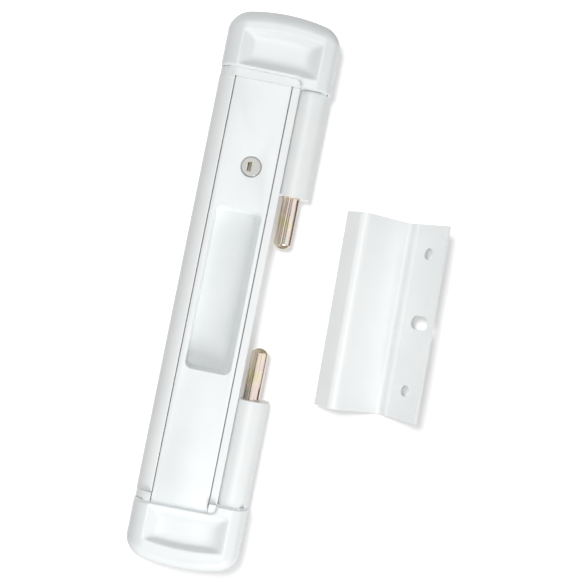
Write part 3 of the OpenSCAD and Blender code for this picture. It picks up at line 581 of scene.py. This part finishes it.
def soften(node, width, segments=3, finish=None):
    """A copy of the CAD node whose sharp edges are rounded by the width in mm."""
    source = NODES[node].data
    points = np.zeros(len(source.vertices) * 3, np.float32)
    source.vertices.foreach_get("co", points)
    faces = [tuple(face.vertices) for face in source.polygons]
    mesh = bpy.data.meshes.new(f"{node}_rounded")
    mesh.from_pydata(points.reshape(-1, 3), [], faces)
    work = bmesh.new()
    work.from_mesh(mesh)
    bmesh.ops.remove_doubles(work, verts=work.verts, dist=WELD * MM)
    bmesh.ops.dissolve_limit(
        work, angle_limit=math.radians(FLAT_ANGLE), verts=work.verts, edges=work.edges
    )
    work.to_mesh(mesh)
    work.free()
    piece = shown(f"{node}_rounded", mesh)
    edge = piece.modifiers.new("edge", "BEVEL")
    edge.width = width * MM
    edge.segments = segments
    edge.limit_method = "ANGLE"
    edge.angle_limit = math.radians(EDGE_ANGLE)
    edge.use_clamp_overlap = False
    mesh.shade_smooth()
    piece.modifiers.new("flats", "WEIGHTED_NORMAL")
    as_plain_mesh(piece)
    stand_for(piece, node, finish)
    return piece


def soft_max(a, b, k):
    """The larger of two fields, with the ridge between them rounded over about k mm."""
    near = np.maximum(k - np.abs(a - b), 0) / k
    return np.maximum(a, b) + near * near * k * 0.25


def arch_z(x):
    """How high the upper cap's arched end reaches at a place across it."""
    return LOCK_TOP - ARCH_R + np.sqrt(ARCH_R**2 - x**2)


def plan_reach(x, z, shrink, end_shrink):
    """How far a place lies towards the cap's sides and arched end, as shares of the rounds
    there, with the round of each side."""
    side_r = np.where(x < 0, CAP_LEFT_R, CAP_RIGHT_R)
    side = np.maximum((np.abs(x) - (BODY_HALF - side_r)) / (side_r - shrink), 0)
    end = np.maximum((z - (arch_z(x) - CAP_END_R)) / (CAP_END_R - end_shrink), 0)
    return side, end, side_r


def cap_hollow(x, d, z, shrink, top):
    """The room inside the cap up to the depth top, below zero in it."""
    side, end, _ = plan_reach(x, z, CAP_WALL + shrink, CAP_WALL + shrink * HOLLOW_END_SHARE)
    plan = (np.sqrt(side**2 + end**2) - 1) * (CAP_END_R - CAP_WALL)
    return np.maximum(plan, d - top)


def dish_floor(x, z):
    """How deep the dish lies at a place: a bowl of four coved walls that blend into each other,
    with an arch at its outer end. It turns below zero outside the dish."""
    arch = DISH_HIGH - DISH_ARCH * (x / DISH_HALF) ** 2
    floor = np.full(np.shape(x), DISH_DEPTH)
    for inside, run in (
        (x + DISH_HALF, DISH_SIDE_RUN),
        (DISH_HALF - x, DISH_SIDE_RUN),
        (z - DISH_LOW, DISH_END_RUN),
        (arch - z, DISH_END_RUN),
    ):
        share = np.minimum(inside / run, 1.0)
        cove = np.where(share > 0, 1 - (1 - share) ** 3, 3 * share)
        floor = -soft_max(-floor, -DISH_DEPTH * cove, DISH_BLEND)
    return floor


def cap_field(x, d, z):
    """The upper end cap as a field in mm, below zero in its material."""
    side, end, side_r = plan_reach(x, z, 0.0, 0.0)
    weight = side**2 + end**2 + TINY
    top_r = (side**2 * side_r + end**2 * CAP_END_R + TINY * CAP_END_R) / weight
    top = np.maximum((d - (CAP_TOP - top_r)) / top_r, 0)
    cap = (np.sqrt(side**2 + end**2 + top**2) - 1) * top_r
    cap = soft_max(cap, d - CAP_TOP + dish_floor(x, z), DISH_RIM)
    right, up = x - (NOTCH_X - NOTCH_R), z - (BAND_LINE - NOTCH_R)
    notch = np.hypot(np.maximum(right, 0), np.maximum(up, 0)) - NOTCH_R
    notch = notch + np.minimum(np.maximum(right, up), 0)
    cap = soft_max(cap, -notch, NOTCH_EDGE)
    cap = soft_max(cap, BODY_TOP - z, CAP_FOOT_EDGE)
    cap = soft_max(cap, -d, CAP_BACK_EDGE)
    hollow = np.minimum(
        cap_hollow(x, d, z, 0.0, HOLLOW_STEP_D), cap_hollow(x, d, z, HOLLOW_STEP, HOLLOW_TOP)
    )
    cap = soft_max(cap, -hollow, CAP_BACK_EDGE)
    for screw_x in CAP_SCREW_X:
        away = np.hypot(x - screw_x, z - CAP_SCREW_Z)
        span = np.maximum(FLOOR_T - d, d - HOLLOW_STEP_D - CAP_BOSS_SINK)
        post = np.maximum(away - CAP_BOSS_R, span)
        bore = np.maximum(away - CAP_BORE_R, d - CAP_BORE_D)
        cap = np.maximum(np.minimum(cap, post), -bore)
    return cap


def slopes(field, points):
    """The field's slope at each point, by small steps to both sides."""
    found = np.zeros_like(points)
    for axis in range(3):
        shift = np.zeros(3)
        shift[axis] = SLOPE_STEP
        change = field(*(points + shift).T) - field(*(points - shift).T)
        found[:, axis] = change / (2 * SLOPE_STEP)
    return found


def surface_net(field, low, high, step):
    """Points and four-sided faces on the field's zero, one point for each grid cell it crosses."""
    axes = [np.arange(a, b + step, step) for a, b in zip(low, high)]
    value = field(*np.meshgrid(*axes, indexing="ij"))
    solid = value < 0
    cells = tuple(n - 1 for n in value.shape)

    def corner(grid, offset):
        return grid[tuple(slice(o, o + c) for o, c in zip(offset, cells))]

    offsets = [(i, j, k) for i in (0, 1) for j in (0, 1) for k in (0, 1)]
    filled = sum(corner(solid, o).astype(int) for o in offsets)
    mixed = (filled > 0) & (filled < 8)
    index = np.full(cells, -1)
    index[mixed] = np.arange(mixed.sum())
    total = np.zeros((mixed.sum(), 3))
    hits = np.zeros(mixed.sum())
    for start in offsets:
        for axis in range(3):
            if start[axis]:
                continue
            stop = tuple(o + (n == axis) for n, o in enumerate(start))
            a, b = corner(value, start)[mixed], corner(value, stop)[mixed]
            crossed = (a < 0) != (b < 0)
            place = np.tile(np.array(start, float), (len(a), 1))
            place[:, axis] += np.where(crossed, a / np.where(crossed, a - b, 1), 0)
            total += place * crossed[:, None]
            hits += crossed
    points = np.array(low) + step * (np.argwhere(mixed) + total / hits[:, None])
    for _ in range(NET_PASSES):
        slope = slopes(field, points)
        length = np.maximum((slope**2).sum(1), LEAST_SLOPE)
        move = -field(*points.T)[:, None] * slope / length[:, None]
        points += np.clip(move, -0.5 * step, 0.5 * step)
    faces = []
    for axis in range(3):
        u, v = (axis + 1) % 3, (axis + 2) % 3
        inner = [slice(1, -1)] * 3
        inner[axis] = slice(0, -1)
        after = list(inner)
        after[axis] = slice(1, None)
        here, there = solid[tuple(inner)], solid[tuple(after)]
        starts = np.argwhere(here != there)
        out = here[here != there]
        starts += [0 if n == axis else 1 for n in range(3)]
        quad = []
        for du, dv in ((-1, -1), (0, -1), (0, 0), (-1, 0)):
            cell = starts.copy()
            cell[:, u] += du
            cell[:, v] += dv
            quad.append(index[tuple(cell.T)])
        quad = np.stack(quad, 1)
        faces.append(np.where(out[:, None], quad, quad[:, ::-1]))
    return points, np.concatenate(faces)


def end_caps():
    """Both end caps: one soft moulded form with its dish, and its twin turned over in z."""
    low = (-BODY_HALF - NET_ROOM, -NET_ROOM_BACK, BODY_TOP - NET_ROOM_BACK)
    high = (BODY_HALF + NET_ROOM, CAP_TOP + NET_ROOM, LOCK_TOP + NET_ROOM)
    points, faces = surface_net(cap_field, low, high, NET_STEP)
    outward = slopes(cap_field, points)
    outward /= np.maximum(np.linalg.norm(outward, axis=1), TINY)[:, None]
    caps = []
    for node, way in (("upper_end_cap", 1), ("lower_end_cap", -1)):
        turn = np.array([1, -1, way])
        mesh = bpy.data.meshes.new(f"{node}_moulded")
        mesh.from_pydata(points * turn * MM, [], faces[:, ::-1] if way == 1 else faces)
        mesh.shade_smooth()
        mesh.normals_split_custom_set_from_vertices(outward * turn)
        caps.append(shown(f"{node}_moulded", mesh))
        stand_for(caps[-1], node)
    return caps


def rounded_loop(work, x0, x1, z0, z1, r, d, along=0):
    """A closed loop of points round a rectangle with rounded corners, with some points along each
    straight side."""
    arcs = []
    left, right, low, high = x0 + r, x1 - r, z0 + r, z1 - r
    for x, z, start in ((right, high, 0), (left, high, 90), (left, low, 180), (right, low, 270)):
        turns = [math.radians(start + 90 * i / CORNER_STEPS) for i in range(CORNER_STEPS + 1)]
        arcs.append([(x + r * math.cos(turn), z + r * math.sin(turn)) for turn in turns])
    points = []
    for arc, after in zip(arcs, arcs[1:] + arcs[:1]):
        points += arc
        for i in range(1, along + 1):
            t = i / (along + 1)
            points.append([a + (b - a) * t for a, b in zip(arc[-1], after[0])])
    return [work.verts.new(at(x, d, z)) for x, z in points]


def round_loop(work, x, z, r, d):
    """A closed loop of points round a circle."""
    turns = [2 * math.pi * i / ROUND_POINTS for i in range(ROUND_POINTS)]
    return [work.verts.new(at(x + r * math.cos(t), d, z + r * math.sin(t))) for t in turns]


def skin(work, loops):
    """Joins each loop to the next with a band of faces."""
    for a, b in zip(loops, loops[1:]):
        for i in range(len(a)):
            j = (i + 1) % len(a)
            work.faces.new((a[i], a[j], b[j], b[i]))


def flat_between(work, loops):
    """Fills the flat face that the first loop bounds and the others pierce."""
    edges = []
    for loop in loops:
        for a, b in zip(loop, loop[1:] + loop[:1]):
            edges.append(work.edges.get((a, b)) or work.edges.new((a, b)))
    bmesh.ops.triangle_fill(work, edges=edges, use_beauty=True, normal=(0, -1, 0))


def slab(work, x0, x1, d0, d1, z0, z1):
    """A closed block with a small bevel on all its edges."""
    made = bmesh.ops.create_cube(work, size=1.0)
    middle = Vector(at((x0 + x1) / 2, (d0 + d1) / 2, (z0 + z1) / 2))
    size = Matrix.Diagonal(((x1 - x0) * MM, (d1 - d0) * MM, (z1 - z0) * MM, 1.0))
    bmesh.ops.transform(work, matrix=Matrix.Translation(middle) @ size, verts=made["verts"])
    edges = {e for v in made["verts"] for e in v.link_edges}
    bmesh.ops.bevel(
        work, geom=list(edges), offset=RIB_BEVEL * MM, segments=2, affect="EDGES", profile=0.5
    )


def boss(work, x, z, d0, d1, r, bore_r):
    """A screw boss: a short post with the screw's bore in its end."""
    rings = [
        round_loop(work, x, z, r, d1),
        round_loop(work, x, z, r, d0 + BOSS_EDGE),
        round_loop(work, x, z, r - BOSS_EDGE, d0),
        round_loop(work, x, z, bore_r + BORE_EDGE, d0),
        round_loop(work, x, z, bore_r, d0 + BORE_EDGE),
        round_loop(work, x, z, bore_r, d1 - BORE_END),
    ]
    skin(work, rings)
    work.faces.new(rings[0])
    work.faces.new(rings[-1])


def recess_loop(work, d, grow, shrink=0.0):
    """The finger recess's outline at a depth, grown outwards or drawn in by some mm."""
    share = (FACE_D - d) / RECESS_DEPTH
    left, right, end = (run * share for run in RECESS_RUNS)
    out = grow - shrink
    r = RECESS_R + (RECESS_FLOOR_R - RECESS_R) * share + out
    return rounded_loop(
        work,
        RECESS_LEFT + left - out,
        RECESS_RIGHT - right + out,
        RECESS_LOW + end - out,
        RECESS_HIGH - end + out,
        max(r, RECESS_LEAST_R),
        d,
        along=SIDE_POINTS,
    )


def slide_plate():
    """The moulded sliding plate: a flat face with a soft edge, the finger recess with a rolled
    rim and a filleted floor, the key hole, and the skirts, tongues, lug and bosses behind."""
    work = bmesh.new()
    turns = [math.radians(90 * i / EDGE_STEPS) for i in range(EDGE_STEPS + 1)]
    outer = []
    for turn in turns:
        inset = PLATE_EDGE * (1 - math.sin(turn))
        drop = PLATE_EDGE * (1 - math.cos(turn))
        outer.append(
            rounded_loop(
                work,
                PLATE_LEFT + inset,
                PLATE_RIGHT - inset,
                PLATE_LOW + inset,
                PLATE_HIGH - inset,
                PLATE_CORNER - inset,
                FACE_D - drop,
            )
        )
    outer.append(
        rounded_loop(
            work, PLATE_LEFT, PLATE_RIGHT, PLATE_LOW, PLATE_HIGH, PLATE_CORNER, PLATE_BACK
        )
    )
    skin(work, outer)

    recess = []
    for i in range(RIM_LOOPS):
        t = i / (RIM_LOOPS - 1)
        recess.append(recess_loop(work, FACE_D - RECESS_RIM * t * t, RECESS_RIM * (1 - t) ** 2))
    for i in range(FILLET_LOOPS):
        t = i / (FILLET_LOOPS - 1)
        rise = RECESS_FILLET * (1 - t) ** 2
        recess.append(
            recess_loop(work, FACE_D - RECESS_DEPTH + rise, 0.0, RECESS_FILLET * t * t)
        )
    mid_x, mid_z = (RECESS_LEFT + RECESS_RIGHT) / 2, (RECESS_LOW + RECESS_HIGH) / 2
    floor_edge = recess[-1]
    for t in FLOOR_LOOPS:
        inner = []
        for point in floor_edge:
            x = mid_x + (point.co.x / MM - mid_x) * t
            z = mid_z + (point.co.z / MM - mid_z) * t
            inner.append(work.verts.new(at(x, FACE_D - RECESS_DEPTH, z)))
        recess.append(inner)
    skin(work, recess)
    work.faces.new(recess[-1])
    for loop in recess[RIM_LOOPS:]:
        for point in loop:
            side = (point.co.x / MM - mid_x) / (RECESS_RIGHT - mid_x)
            end = (point.co.z / MM - mid_z) / (RECESS_HIGH - mid_z)
            rise = FLOOR_LIFT + FLOOR_TILT * end + FLOOR_LEAN * side
            rise += SCOOP * side**2 + SCOOP_RIGHT * max(side, 0.0) ** 3
            for start, gain in SCOOP_LOW:
                rise += gain * max(-end - start, 0.0) ** 2
            point.co.y -= rise * MM

    key = []
    for turn in turns:
        grow = KEY_EDGE * (1 - math.sin(turn))
        drop = KEY_EDGE * (1 - math.cos(turn))
        key.append(round_loop(work, KEY_X, KEY_Z, KEY_HOLE_R + grow, FACE_D - drop))
    key.append(round_loop(work, KEY_X, KEY_Z, KEY_HOLE_R, PLATE_BACK))
    skin(work, key)

    tub_back = FACE_D - RECESS_DEPTH - TUB_WALL
    tub = [
        recess_loop(work, PLATE_BACK, TUB_WALL),
        recess_loop(work, FACE_D - RECESS_DEPTH, TUB_WALL),
        recess_loop(work, FACE_D - RECESS_DEPTH, TUB_WALL),
        recess_loop(work, FACE_D - RECESS_DEPTH, TUB_WALL - TUB_EDGE),
    ]
    for loop, back in ((tub[2], tub_back + TUB_EDGE), (tub[3], tub_back)):
        for point in loop:
            point.co.y = -back * MM
    skin(work, tub)
    work.faces.new(tub[-1])
    flat_between(work, [outer[0], recess[0], key[0]])
    flat_between(work, [outer[-1], tub[0], key[-1]])

    behind = PLATE_BACK + RIB_SINK
    inner_left, inner_right = PLATE_LEFT + SKIRT_T, PLATE_RIGHT - SKIRT_T
    for x0, x1, front, z0, z1 in (
        (PLATE_LEFT, inner_left, behind, PLATE_LOW, PLATE_HIGH),
        (inner_right, PLATE_RIGHT, behind, PLATE_LOW, PLATE_HIGH),
        (PLATE_LEFT - TONGUE_REACH, inner_left, TONGUE_FRONT, TONGUE_LOW, TONGUE_HIGH),
        (inner_right, PLATE_RIGHT + TONGUE_REACH, TONGUE_FRONT, TONGUE_LOW, TONGUE_HIGH),
    ):
        slab(work, x0, x1, SKIRT_BACK, front, z0, z1)
    half = LUG_LEN / 2
    slab(work, PLATE_RIGHT - LUG_T, PLATE_RIGHT, LUG_BACK, behind, LUG_Z - half, LUG_Z + half)
    for z in (KEY_Z - EAR_REACH, KEY_Z + EAR_REACH):
        boss(work, KEY_X, z, EAR_FRONT, behind, EAR_R, CAP_BORE_R)
    rack_front = -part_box("slide_rack")[0].y / MM
    low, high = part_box("rack_screws")
    rack_x = (low.x + high.x) / 2 / MM
    head_r = (high.x - low.x) / 2 / MM
    for z in (low.z / MM + head_r, high.z / MM - head_r):
        boss(work, rack_x, z, rack_front, behind, RACK_BOSS_R, CAP_BORE_R)

    bmesh.ops.recalc_face_normals(work, faces=work.faces)
    mesh = bpy.data.meshes.new("slide_plate_moulded")
    work.to_mesh(mesh)
    work.free()
    smooth_but_keep_edges(mesh)
    stand_for(shown("slide_plate_moulded", mesh), "slide_plate")


def screw_tree():
    """A small screw with a bevelled head and a cross drive, set at each place with its turn."""
    tree = bpy.data.node_groups.new("cross_head_screws", "GeometryNodeTree")
    sockets = tree.interface
    sockets.new_socket(name="Places", in_out="INPUT", socket_type="NodeSocketGeometry")
    for name in ("Head Radius", "Head Height", "Shank Radius", "Length", "Drive", "Drive Width"):
        sockets.new_socket(name=name, in_out="INPUT", socket_type="NodeSocketFloat")
    sockets.new_socket(name="Finish", in_out="INPUT", socket_type="NodeSocketMaterial")
    sockets.new_socket(name="Screws", in_out="OUTPUT", socket_type="NodeSocketGeometry")
    given = add(tree, "NodeGroupInput").outputs

    bevel = add(
        tree, "ShaderNodeMath", {0: given["Head Height"], 1: SCREW_BEVEL}, operation="MULTIPLY"
    )
    crown_r = add(
        tree,
        "ShaderNodeMath",
        {0: given["Head Radius"], 1: bevel.outputs[0]},
        operation="SUBTRACT",
    )
    crown = add(
        tree,
        "GeometryNodeMeshCone",
        {
            "Vertices": HEAD_SIDES,
            "Radius Top": given["Head Radius"],
            "Radius Bottom": crown_r.outputs[0],
            "Depth": bevel.outputs[0],
        },
    )
    rim_h = add(
        tree,
        "ShaderNodeMath",
        {0: given["Head Height"], 1: bevel.outputs[0]},
        operation="SUBTRACT",
    )
    rim = add(
        tree,
        "GeometryNodeMeshCylinder",
        {"Vertices": HEAD_SIDES, "Radius": given["Head Radius"], "Depth": rim_h.outputs[0]},
    )
    rim_mid = add(
        tree,
        "ShaderNodeMath",
        {0: rim_h.outputs[0], 1: 0.5, 2: bevel.outputs[0]},
        operation="MULTIPLY_ADD",
    )
    rim_place = add(tree, "ShaderNodeCombineXYZ", {"Z": rim_mid.outputs[0]})
    rim_set = add(
        tree,
        "GeometryNodeTransform",
        {"Geometry": rim.outputs["Mesh"], "Translation": rim_place.outputs[0]},
    )
    shank = add(
        tree,
        "GeometryNodeMeshCylinder",
        {"Vertices": SHANK_SIDES, "Radius": given["Shank Radius"], "Depth": given["Length"]},
    )
    shank_mid = add(
        tree,
        "ShaderNodeMath",
        {0: given["Length"], 1: 0.5, 2: bevel.outputs[0]},
        operation="MULTIPLY_ADD",
    )
    shank_place = add(tree, "ShaderNodeCombineXYZ", {"Z": shank_mid.outputs[0]})
    shank_set = add(
        tree,
        "GeometryNodeTransform",
        {"Geometry": shank.outputs["Mesh"], "Translation": shank_place.outputs[0]},
    )
    whole = add(
        tree,
        "GeometryNodeMeshBoolean",
        {"Mesh 2": [crown.outputs["Mesh"], rim_set.outputs[0], shank_set.outputs[0]]},
        operation="UNION",
        solver="EXACT",
    )
    depth = add(
        tree, "ShaderNodeMath", {0: given["Head Height"], 1: DRIVE_DEPTH}, operation="MULTIPLY"
    )
    bars = []
    for x, y in (("Drive", "Drive Width"), ("Drive Width", "Drive")):
        size = add(
            tree, "ShaderNodeCombineXYZ", {"X": given[x], "Y": given[y], "Z": depth.outputs[0]}
        )
        bar = add(tree, "GeometryNodeMeshCube", {"Size": size.outputs[0]})
        bars.append(bar.outputs["Mesh"])
    screw = add(
        tree,
        "GeometryNodeMeshBoolean",
        {"Mesh 1": whole.outputs["Mesh"], "Mesh 2": bars},
        operation="DIFFERENCE",
        solver="EXACT",
    )
    turn = add(tree, "GeometryNodeInputNamedAttribute", {"Name": "turn"}, data_type="FLOAT_VECTOR")
    turned = add(tree, "FunctionNodeEulerToRotation", {"Euler": turn.outputs["Attribute"]})
    placed = add(
        tree,
        "GeometryNodeInstanceOnPoints",
        {
            "Points": given["Places"],
            "Instance": screw.outputs["Mesh"],
            "Rotation": turned.outputs["Rotation"],
        },
    )
    real = add(tree, "GeometryNodeRealizeInstances", {"Geometry": placed.outputs["Instances"]})
    painted = add(
        tree,
        "GeometryNodeSetMaterial",
        {"Geometry": real.outputs["Geometry"], "Material": given["Finish"]},
    )
    add(tree, "NodeGroupOutput", {"Screws": painted.outputs["Geometry"]})
    return tree


def set_screws(tree, node, places, length):
    """Sets the node's screws at places, each x, d and z and its three turns in degrees."""
    mesh = bpy.data.meshes.new(f"{node}_set")
    mesh.from_pydata([at(*place[:3]) for place in places], [], [])
    turns = mesh.attributes.new("turn", "FLOAT_VECTOR", "POINT")
    for item, place in zip(turns.data, places):
        item.vector = [math.radians(turn) for turn in place[3]]
    piece = shown(f"{node}_set", mesh)
    values = {
        "Head Radius": SCREW_HEAD_R * MM,
        "Head Height": SCREW_HEAD_H * MM,
        "Shank Radius": SCREW_R * MM,
        "Length": length * MM,
        "Drive": DRIVE_LEN * MM,
        "Drive Width": DRIVE_W * MM,
        "Finish": FINISHES["plain_steel"],
    }
    made = piece.modifiers.new("screws", "NODES")
    made.node_group = tree
    for socket in tree.interface.items_tree:
        if socket.in_out == "INPUT" and socket.name in values:
            made[socket.identifier] = values[socket.name]
    smooth_but_keep_edges(as_plain_mesh(piece))
    stand_for(piece, node)


def screws():
    """All the small screws: cap screws from behind, end screws along the bar, and those of the
    rack and the cylinder behind the plate. Their drives are turned by their places, so that they
    don't all line up."""
    tree = screw_tree()
    backs = []
    for way in (1, -1):
        for x in CAP_SCREW_X:
            backs.append((x, 0.0, way * CAP_SCREW_Z, (90, way * x, 0)))
    set_screws(tree, "cap_screws", backs, CAP_BORE_D - CAP_SCREW_ROOM)
    for node in ("rack_screws", "cylinder_screws"):
        low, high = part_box(node)
        x = (low.x + high.x) / 2 / MM
        r = (high.x - low.x) / 2 / MM
        back = -high.y / MM
        places = [(x, back, z, (90, 2 * z, 0)) for z in (low.z / MM + r, high.z / MM - r)]
        set_screws(tree, node, places, (high.y - low.y) / MM - PLATE_SCREW_ROOM)
    low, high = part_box("end_block_screws")
    ports = (
        (low.x / MM + SCREW_HEAD_R, -low.y / MM - SCREW_HEAD_R, 25),
        (high.x / MM - SCREW_HEAD_R, -high.y / MM + SCREW_HEAD_R, 70),
    )
    ends = []
    for way, over in ((1, 180), (-1, 0)):
        for x, d, spin in ports:
            ends.append((x, d, way * high.z / MM, (over, 0, spin)))
    set_screws(tree, "end_block_screws", ends, END_SCREW_LEN)


def stage():
    """A white table behind the lock that takes its shadow. Only the eye's own rays meet its
    front, so that light still reaches the lock's back and other views see past it."""
    table = bpy.data.materials.new("white_table")
    table.use_nodes = True
    tree = table.node_tree
    tree.nodes.clear()
    ray = add(tree, "ShaderNodeLightPath")
    back = add(tree, "ShaderNodeNewGeometry")
    front = add(
        tree, "ShaderNodeMath", {0: 1.0, 1: back.outputs["Backfacing"]}, operation="SUBTRACT"
    )
    seen = add(
        tree,
        "ShaderNodeMath",
        {0: ray.outputs["Is Camera Ray"], 1: front.outputs[0]},
        operation="MULTIPLY",
    )
    matt = add(tree, "ShaderNodeBsdfDiffuse", {"Color": tone("F6F6F6")})
    glow = add(tree, "ShaderNodeEmission", {"Color": tone("FFFFFF"), "Strength": TABLE_GLOW})
    white = add(tree, "ShaderNodeAddShader", {0: matt.outputs[0], 1: glow.outputs[0]})
    clear = add(tree, "ShaderNodeBsdfTransparent")
    surface = add(
        tree,
        "ShaderNodeMixShader",
        {0: seen.outputs[0], 1: clear.outputs[0], 2: white.outputs[0]},
    )
    add(tree, "ShaderNodeOutputMaterial", {"Surface": surface.outputs[0]})
    mesh = bpy.data.meshes.new("white_table")
    ways = ((-1, -1), (1, -1), (1, 1), (-1, 1))
    corners = [at(x * TABLE_HALF, TABLE_D, z * TABLE_HALF) for x, z in ways]
    mesh.from_pydata(corners, [], [(0, 1, 2, 3)])
    mesh.materials.append(table)
    piece = shown("white_table", mesh)
    return piece


def surroundings():
    """A pale studio, laid out by the compass from behind over left, front and right to behind.
    The eye sees it white. Its soft light is strongest from the front and the left, for the low
    lamp stands at the lower right. Gloss shows its white walls and, between them, a dim left side,
    a dark screen in front and a dark door."""
    world = bpy.data.worlds.new("pale_studio")
    bpy.context.scene.world = world
    world.use_nodes = True
    tree = world.node_tree
    tree.nodes.clear()
    ray = add(tree, "ShaderNodeLightPath")
    way = add(tree, "ShaderNodeTexCoord")
    parts = add(tree, "ShaderNodeSeparateXYZ", {0: way.outputs["Generated"]})
    ahead = add(tree, "ShaderNodeMath", {0: parts.outputs["Y"], 1: -1.0}, operation="MULTIPLY")
    angle = add(
        tree,
        "ShaderNodeMath",
        {0: parts.outputs["X"], 1: ahead.outputs[0]},
        operation="ARCTAN2",
    )
    compass = add(
        tree,
        "ShaderNodeMapRange",
        {"Value": angle.outputs[0], "From Min": -math.pi, "From Max": math.pi},
    ).outputs["Result"]
    soft = 0.0
    for axis, (plus, minus) in SKY.items():
        part = parts.outputs[axis]
        side = add(tree, "ShaderNodeMath", {0: part, 1: 0.0}, operation="GREATER_THAN")
        strength = add(
            tree, "ShaderNodeMix", {0: side.outputs[0], 2: minus, 3: plus}, data_type="FLOAT"
        )
        share = add(tree, "ShaderNodeMath", {0: part, 1: part}, operation="MULTIPLY")
        soft = add(
            tree,
            "ShaderNodeMath",
            {0: share.outputs[0], 1: strength.outputs[0], 2: soft},
            operation="MULTIPLY_ADD",
        ).outputs[0]
    banded = add(tree, "ShaderNodeValToRGB", {"Fac": compass}, stops=SCREEN_WALLS)
    plain = add(tree, "ShaderNodeValToRGB", {"Fac": compass}, stops=OTHER_WALLS)
    above = add(
        tree,
        "ShaderNodeMapRange",
        {"Value": parts.outputs["Z"], "From Min": -0.03, "From Max": 0.03},
        interpolation_type="SMOOTHSTEP",
    )
    below = add(
        tree,
        "ShaderNodeMapRange",
        {"Value": parts.outputs["Z"], "From Min": 0.13, "From Max": 0.10},
        interpolation_type="SMOOTHSTEP",
    )
    screen = add(
        tree,
        "ShaderNodeMath",
        {0: above.outputs["Result"], 1: below.outputs["Result"]},
        operation="MULTIPLY",
    )
    walls = add(
        tree,
        "ShaderNodeMix",
        {0: screen.outputs[0], 6: plain.outputs["Color"], 7: banded.outputs["Color"]},
        data_type="RGBA",
    )
    height = add(tree, "ShaderNodeMath", {0: parts.outputs["Z"]}, operation="ABSOLUTE")
    steep = add(
        tree,
        "ShaderNodeMapRange",
        {"Value": height.outputs[0], "From Min": 0.3, "From Max": 0.7},
        interpolation_type="SMOOTHSTEP",
    )
    mirror = add(
        tree,
        "ShaderNodeMix",
        {0: steep.outputs["Result"], 6: walls.outputs[2], 7: tone("A09C92")},
        data_type="RGBA",
    )
    glossy = add(
        tree,
        "ShaderNodeMix",
        {0: ray.outputs["Is Glossy Ray"], 6: soft, 7: mirror.outputs[2]},
        data_type="RGBA",
    )
    past = add(
        tree,
        "ShaderNodeMath",
        {0: ray.outputs["Is Camera Ray"], 1: ray.outputs["Is Transmission Ray"]},
        operation="MAXIMUM",
    )
    level = add(
        tree,
        "ShaderNodeMix",
        {0: past.outputs[0], 6: glossy.outputs[2], 7: tone("FFFFFF")},
        data_type="RGBA",
    )
    sky = add(tree, "ShaderNodeBackground", {"Color": level.outputs[2]})
    add(tree, "ShaderNodeOutputWorld", {"Surface": sky.outputs[0]})


def lamp(name, place, target, size, watts, pieces, state, clear=()):
    """A softbox of a width and height at a place, looking at a target, all in mm. It lights the
    pieces alone where the state is INCLUDE, and all but them where it is EXCLUDE. The clear
    pieces throw no shadow from it."""
    light = bpy.data.lights.new(name, "AREA")
    light.shape = "RECTANGLE"
    light.size, light.size_y = size[0] * MM, size[1] * MM
    light.energy = watts
    box = bpy.data.objects.new(name, light)
    bpy.context.scene.collection.objects.link(box)
    box.location = at(*place)
    level = (Vector(at(*target)) - Vector(at(*place))).to_track_quat("-Z", "Y")
    box.rotation_euler = (level @ Quaternion((0, 0, 1), ROLL)).to_euler()
    lit = bpy.data.collections.new(f"{name}_lit")
    box.light_linking.receiver_collection = lit
    blockers = bpy.data.collections.new(f"{name}_blockers")
    box.light_linking.blocker_collection = blockers
    for group, members, choice in ((lit, pieces, state), (blockers, clear, "EXCLUDE")):
        for i, piece in enumerate(members):
            group.objects.link(piece)
            group.collection_objects[i].light_linking.link_state = choice
    return box


def eye():
    """The photograph's camera: half a metre in front, a little right of and above the middle,
    rolled so that the lock leans to the right."""
    data = bpy.data.cameras.new("eye")
    data.sensor_width = SENSOR
    data.lens = FOCAL_PX / PICTURE_PX * SENSOR
    data.clip_start, data.clip_end = 0.01, 20.0
    camera = bpy.data.objects.new("eye", data)
    bpy.context.scene.collection.objects.link(camera)
    ahead = Vector((math.tan(PAN), 1.0, math.tan(TILT))).normalized()
    right = ahead.cross(Vector((0, 0, 1))).normalized()
    up = right.cross(ahead)
    turned_right = math.cos(ROLL) * right + math.sin(ROLL) * up
    turned_up = -math.sin(ROLL) * right + math.cos(ROLL) * up
    place = Matrix((turned_right, turned_up, -ahead)).transposed().to_4x4()
    place.translation = at(*EYE_PLACE)
    camera.matrix_world = place
    bpy.context.scene.camera = camera


for name, node in NODES.items():
    node.material_slots[0].material = FINISHES[SLOT_OF[name]]

eye()
table = stage()
surroundings()
bpy.context.scene.view_settings.view_transform = "Standard"

caps = end_caps()
slide_plate()
screws()
soften("body_extrusion", 0.35)
soften("upper_end_block", 0.2)
soften("lower_end_block", 0.2)
bright = [soften("upper_bolt", 0.1), soften("lower_bolt", 0.1)]
keeper = soften("keeper", 0.15, segments=2)
bright.append(soften("key_plug", 0.2, finish=PLUG_NICKEL))
bright.append(soften("cylinder_shell", 0.12, segments=2))
for hidden in ("lock_cam", "slide_rack", "lower_rack", "pinion", "rack_guide"):
    soften(hidden, 0.12, segments=2)

# The table's own lamp throws the narrow shadow. The low lamp at the right draws out the forms.
# The keeper has one more. The front card shows in gloss alone, and not on the bright metal.
lamp("table_softbox", (-134, 700, 130), (0, 0, 0), (170, 170), 3.4, [table], "INCLUDE")
lamp("lower_softbox", (490, 640, -1020), (0, 10, 0), (480, 480), 10.5, [table], "EXCLUDE", caps)
lamp("keeper_softbox", (-480, 430, 0), (82, 10, 0), (300, 300), 0.75, [keeper], "INCLUDE")
bright.append(table)
card = lamp("front_card", (60, 700, -20), (60, 0, -20), (300, 800), 2.1, bright, "EXCLUDE")
card.visible_diffuse = False
